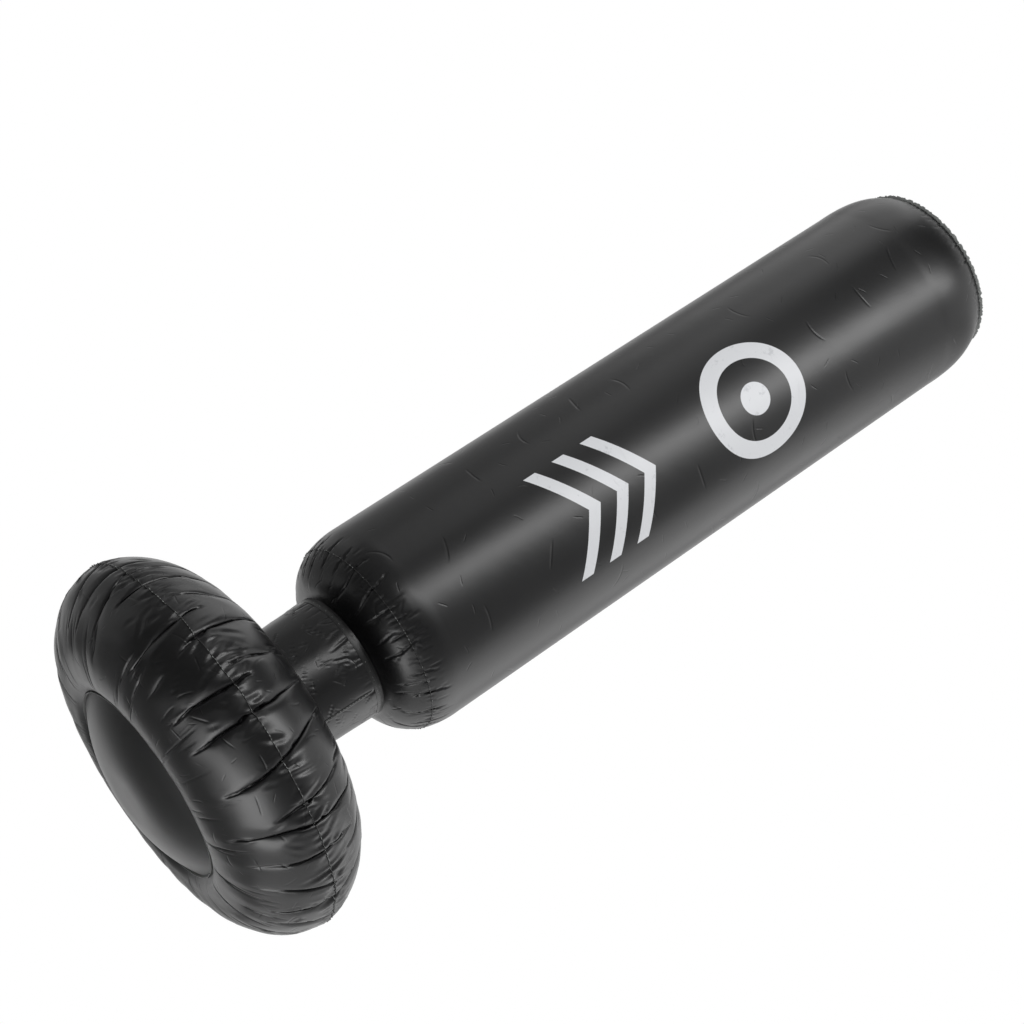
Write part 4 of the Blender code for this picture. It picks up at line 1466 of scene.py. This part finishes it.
valve_part("valve_flap",
           [(0, flap_face), (stem_radius - 0.0004, flap_face),
            (stem_radius - 0.0004, flap_face - 0.0006), (0.002, flap_face - 0.0006),
            (0.0014, flap_face - 0.0009), (0, flap_face - 0.0009)],
           0.0002, 48, seal_rubber, "air_flap", "air_valve_flap", closed=False)
valve_part("valve_plug",
           [(0, plug_top - 0.0005), (0.0028, plug_top - 0.0005), (0.0036, plug_top),
            (plug_radius - 0.0004, plug_top), (plug_radius, plug_top - 0.0005),
            (plug_radius, plug_face), (0.0042, plug_face), (0.0040, plug_face - 0.0016),
            (0.0043, plug_face - 0.0024), (0.0034, plug_face - 0.0045),
            (0, plug_face - 0.0045)],
           0.0003, 64, valve_vinyl, "air_plug", "air_valve_plug", closed=False)

# %% [markdown]
# ## Straps
# The plug and the cap each hang on a moulded strap. A strap is one rounded section carried
# along a bent line, with a face at each end.

# %% Plug strap
def strap(name, line, side, thick, nodes):
    """A soft strap with rounded edges along a line of points. side points across it."""
    wide, edge_round, top_round = 0.0040, 0.35, 0.6
    line = np.array(line, float)
    side = np.array(side, float)
    step = np.gradient(line, axis=0)
    step /= np.linalg.norm(step, axis=1, keepdims=True)
    normal = np.cross(side, step)
    angle = np.linspace(0, full_turn, 16, endpoint=False)
    across = np.sign(np.cos(angle)) * np.abs(np.cos(angle)) ** edge_round * wide / 2
    high = np.sign(np.sin(angle)) * np.abs(np.sin(angle)) ** top_round * thick / 2
    grid = line[None] + side * across[:, None, None] + normal[None] * high[:, None, None]
    return capped(name, grid, valve_vinyl, None, nodes)

def arc(centre, radius, start, end, count=14):
    turns = np.radians(np.linspace(start, end, count))
    return [(centre[0] + radius * math.cos(a), centre[1] + radius * math.sin(a)) for a in turns]

loop, leg = 0.0020, plug_head / 2 + gap
loop_middle = (-(plug_radius + loop * 0.75), leg - loop)
loop_line = [(-(plug_radius - 0.0002), leg)] + arc(loop_middle, loop, 90, 270)
loop_line.append((-(stem_radius - 0.0002), leg - 2 * loop))
plug_strap = strap("plug_strap", [(0, mouth + v, valve_height + u) for u, v in loop_line],
                   (1, 0, 0), 0.0008, ["air_valve_strap"])

# %% [markdown]
# ## Water filler
# A wide spout on the crown of the ring, at the back, with a ribbed screw cap over a seal. A
# collar around the spout holds a strap, whose eye sits under the knob on the cap.

# %% Water filler sizes
filler_flange = 0.0012
spout_radius, spout_bore, spout_height = 0.0140, 0.0105, 0.0130
flange_top = crown + gap + filler_flange
rim = flange_top + spout_height
seal_in, seal_low = spout_bore + gap, rim + gap
seal_width, seal_thick = 0.0029, 0.0012
collar_in, collar_low = spout_radius + 0.0001, flange_top + gap
collar_width, collar_thick = 0.0030, 0.0012
cap_wall, thread_room = 0.0026, 0.0008
cap_radius = spout_radius + thread_room + cap_wall
cap_under = rim + seal_thick + 2 * gap
cap_top = cap_under + 0.0025
skirt_low = flange_top + collar_thick + 3 * gap
knob_top, knob_head = cap_top + 0.0024, 0.0010
eye_in, eye_low = 0.0054, cap_top + gap
eye_width, eye_thick = 0.0036, 0.0014
thread = [(spout_radius + (0.0006 if k % 2 else 0), rim - 0.0016 - 0.00075 * k)
          for k in range(9)]

# %% Water filler
def filler_part(name, outline, soft, columns, finish, body, node, closed=True):
    """A turned part on the filler's axis."""
    return lathed(name, outline, soft, columns, finish, body, [node], closed,
                  (0, crown_radius, 0))

def washer(name, inner, low, width, thick, soft, columns, finish, body, node):
    """A flat ring on the filler's axis."""
    filler_part(name, [(inner, low), (inner + width, low), (inner + width, low + thick),
                       (inner, low + thick)], soft, columns, finish, body, node)

filler_part("filler_spout_piece",
            [(spout_bore, rim), (spout_radius - 0.0003, rim)] + thread +
            [(spout_radius, flange_top + 0.0022), (spout_radius, flange_top),
             (0.0182, flange_top), (0.0188, flange_top - 0.0004), (0.0200, flange_top - 0.0004),
             (0.0200, crown + gap), (spout_bore + 0.0012, crown + gap),
             (spout_bore + 0.0012, crown - 0.0030), (spout_bore, crown - 0.0030)],
            0.0004, 96, valve_vinyl, "base", "filler_spout")
washer("tether_collar", collar_in, collar_low, collar_width, collar_thick, 0.0005, 80,
       valve_vinyl, "base", "filler_tether_collar")
washer("filler_seal_ring", seal_in, seal_low, seal_width, seal_thick, 0.0005, 80,
       seal_rubber, "base", "filler_seal")
filler_part("screw_cap",
            [(0, knob_top + knob_head), (0.0065, knob_top + knob_head), (0.0065, knob_top),
             (0.0050, knob_top), (0.0050, cap_top - 0.0002),
             (cap_radius - 0.0040, cap_top - 0.0002), (cap_radius - 0.0030, cap_top),
             (cap_radius, cap_top), (cap_radius, skirt_low + 0.0016),
             (cap_radius + 0.0005, skirt_low + 0.0010), (cap_radius + 0.0005, skirt_low),
             (cap_radius - cap_wall, skirt_low), (cap_radius - cap_wall, cap_under),
             (0, cap_under)],
            0.0005, 96, cap_plastic, "filler_screw_cap", "filler_cap", closed=False)
washer("tether_eye", eye_in, eye_low, eye_width, eye_thick, 0.0006, 64, valve_vinyl,
       "filler_tether", "filler_tether_eye")

# %% Cap strap
bend = 0.0020
cap_strap_thick, cap_rib_depth, strap_room = 0.0010, 0.0009, 0.0010
far = cap_radius + cap_rib_depth + strap_room + cap_strap_thick
high_line, low_line = eye_low + eye_thick / 2, collar_low + collar_thick / 2
hook_line = [(eye_in + 0.0034, high_line)] + arc((far - bend, high_line - bend), bend, 90, 0, 8)
hook_line += arc((far - bend, low_line + bend), bend, 0, -90, 8)
hook_line.append((collar_in + 0.0028, low_line))
cap_strap = strap("cap_strap", [(u, crown_radius, v) for u, v in hook_line], (0, 1, 0),
                  cap_strap_thick, ["filler_tether_strap"])

# %% [markdown]
# ## Grip ribs
# The cap's grip ribs repeat around its rim: Geometry Nodes put one slim rounded rib on each
# of the points of a circle, turned to face outwards.

# %% Grip ribs
def ribs_tree():
    tree, given = geometry_tree(
        "grip_ribs", "Start",
        [("Count", "Int", 18), ("Radius", "Float", 0.0174), ("Width", "Float", 0.0016),
         ("Depth", "Float", 0.0018), ("Height", "Float", 0.012), ("Centre", "Vector", None)],
        "Ribs")
    circle = put_node(tree, "GeometryNodeMeshCircle",
                      {"Vertices": given["Count"], "Radius": given["Radius"]})
    bead = sized_bead(tree, given, 12, 16, ("Depth", "Width", "Height"))
    place = put_node(tree, "GeometryNodeInputPosition")[0]
    away = put_node(tree, "FunctionNodeAlignRotationToVector", {"Vector": place}, axis="X")
    ribs = put_node(tree, "GeometryNodeInstanceOnPoints",
                    {"Points": circle["Mesh"], "Instance": bead, "Rotation": away["Rotation"]})
    real = put_node(tree, "GeometryNodeRealizeInstances", {"Geometry": ribs["Instances"]})
    moved = put_node(tree, "GeometryNodeTransform",
                     {"Geometry": real["Geometry"], "Translation": given["Centre"]})
    return end_tree(tree, given, moved["Geometry"], "Ribs")

rib_count, rib_width, rib_shorter = 18, 0.0018, 0.0026
rib_middle = (0.0, crown_radius, (cap_top + skirt_low) / 2)
ribs = run_tree("cap_grip_ribs", ribs_tree(), bpy.data.meshes.new("start"), Count=rib_count,
                Radius=cap_radius, Width=rib_width, Depth=rib_width,
                Height=cap_top - skirt_low - rib_shorter, Centre=rib_middle,
                Finish=cap_plastic)
join_frame(ribs, "filler_screw_cap")
report(ribs)

# %% [markdown]
# ## Soft pieces
# The neck bends about two axes, and the web and the two straps each cross one joint. These
# pieces ride on no body here: each has its place baked into its points.

# %% Soft pieces
for piece in neck_lower:
    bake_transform(piece)
for piece in neck_upper:
    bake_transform(piece)
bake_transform(web)
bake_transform(plug_strap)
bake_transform(cap_strap)
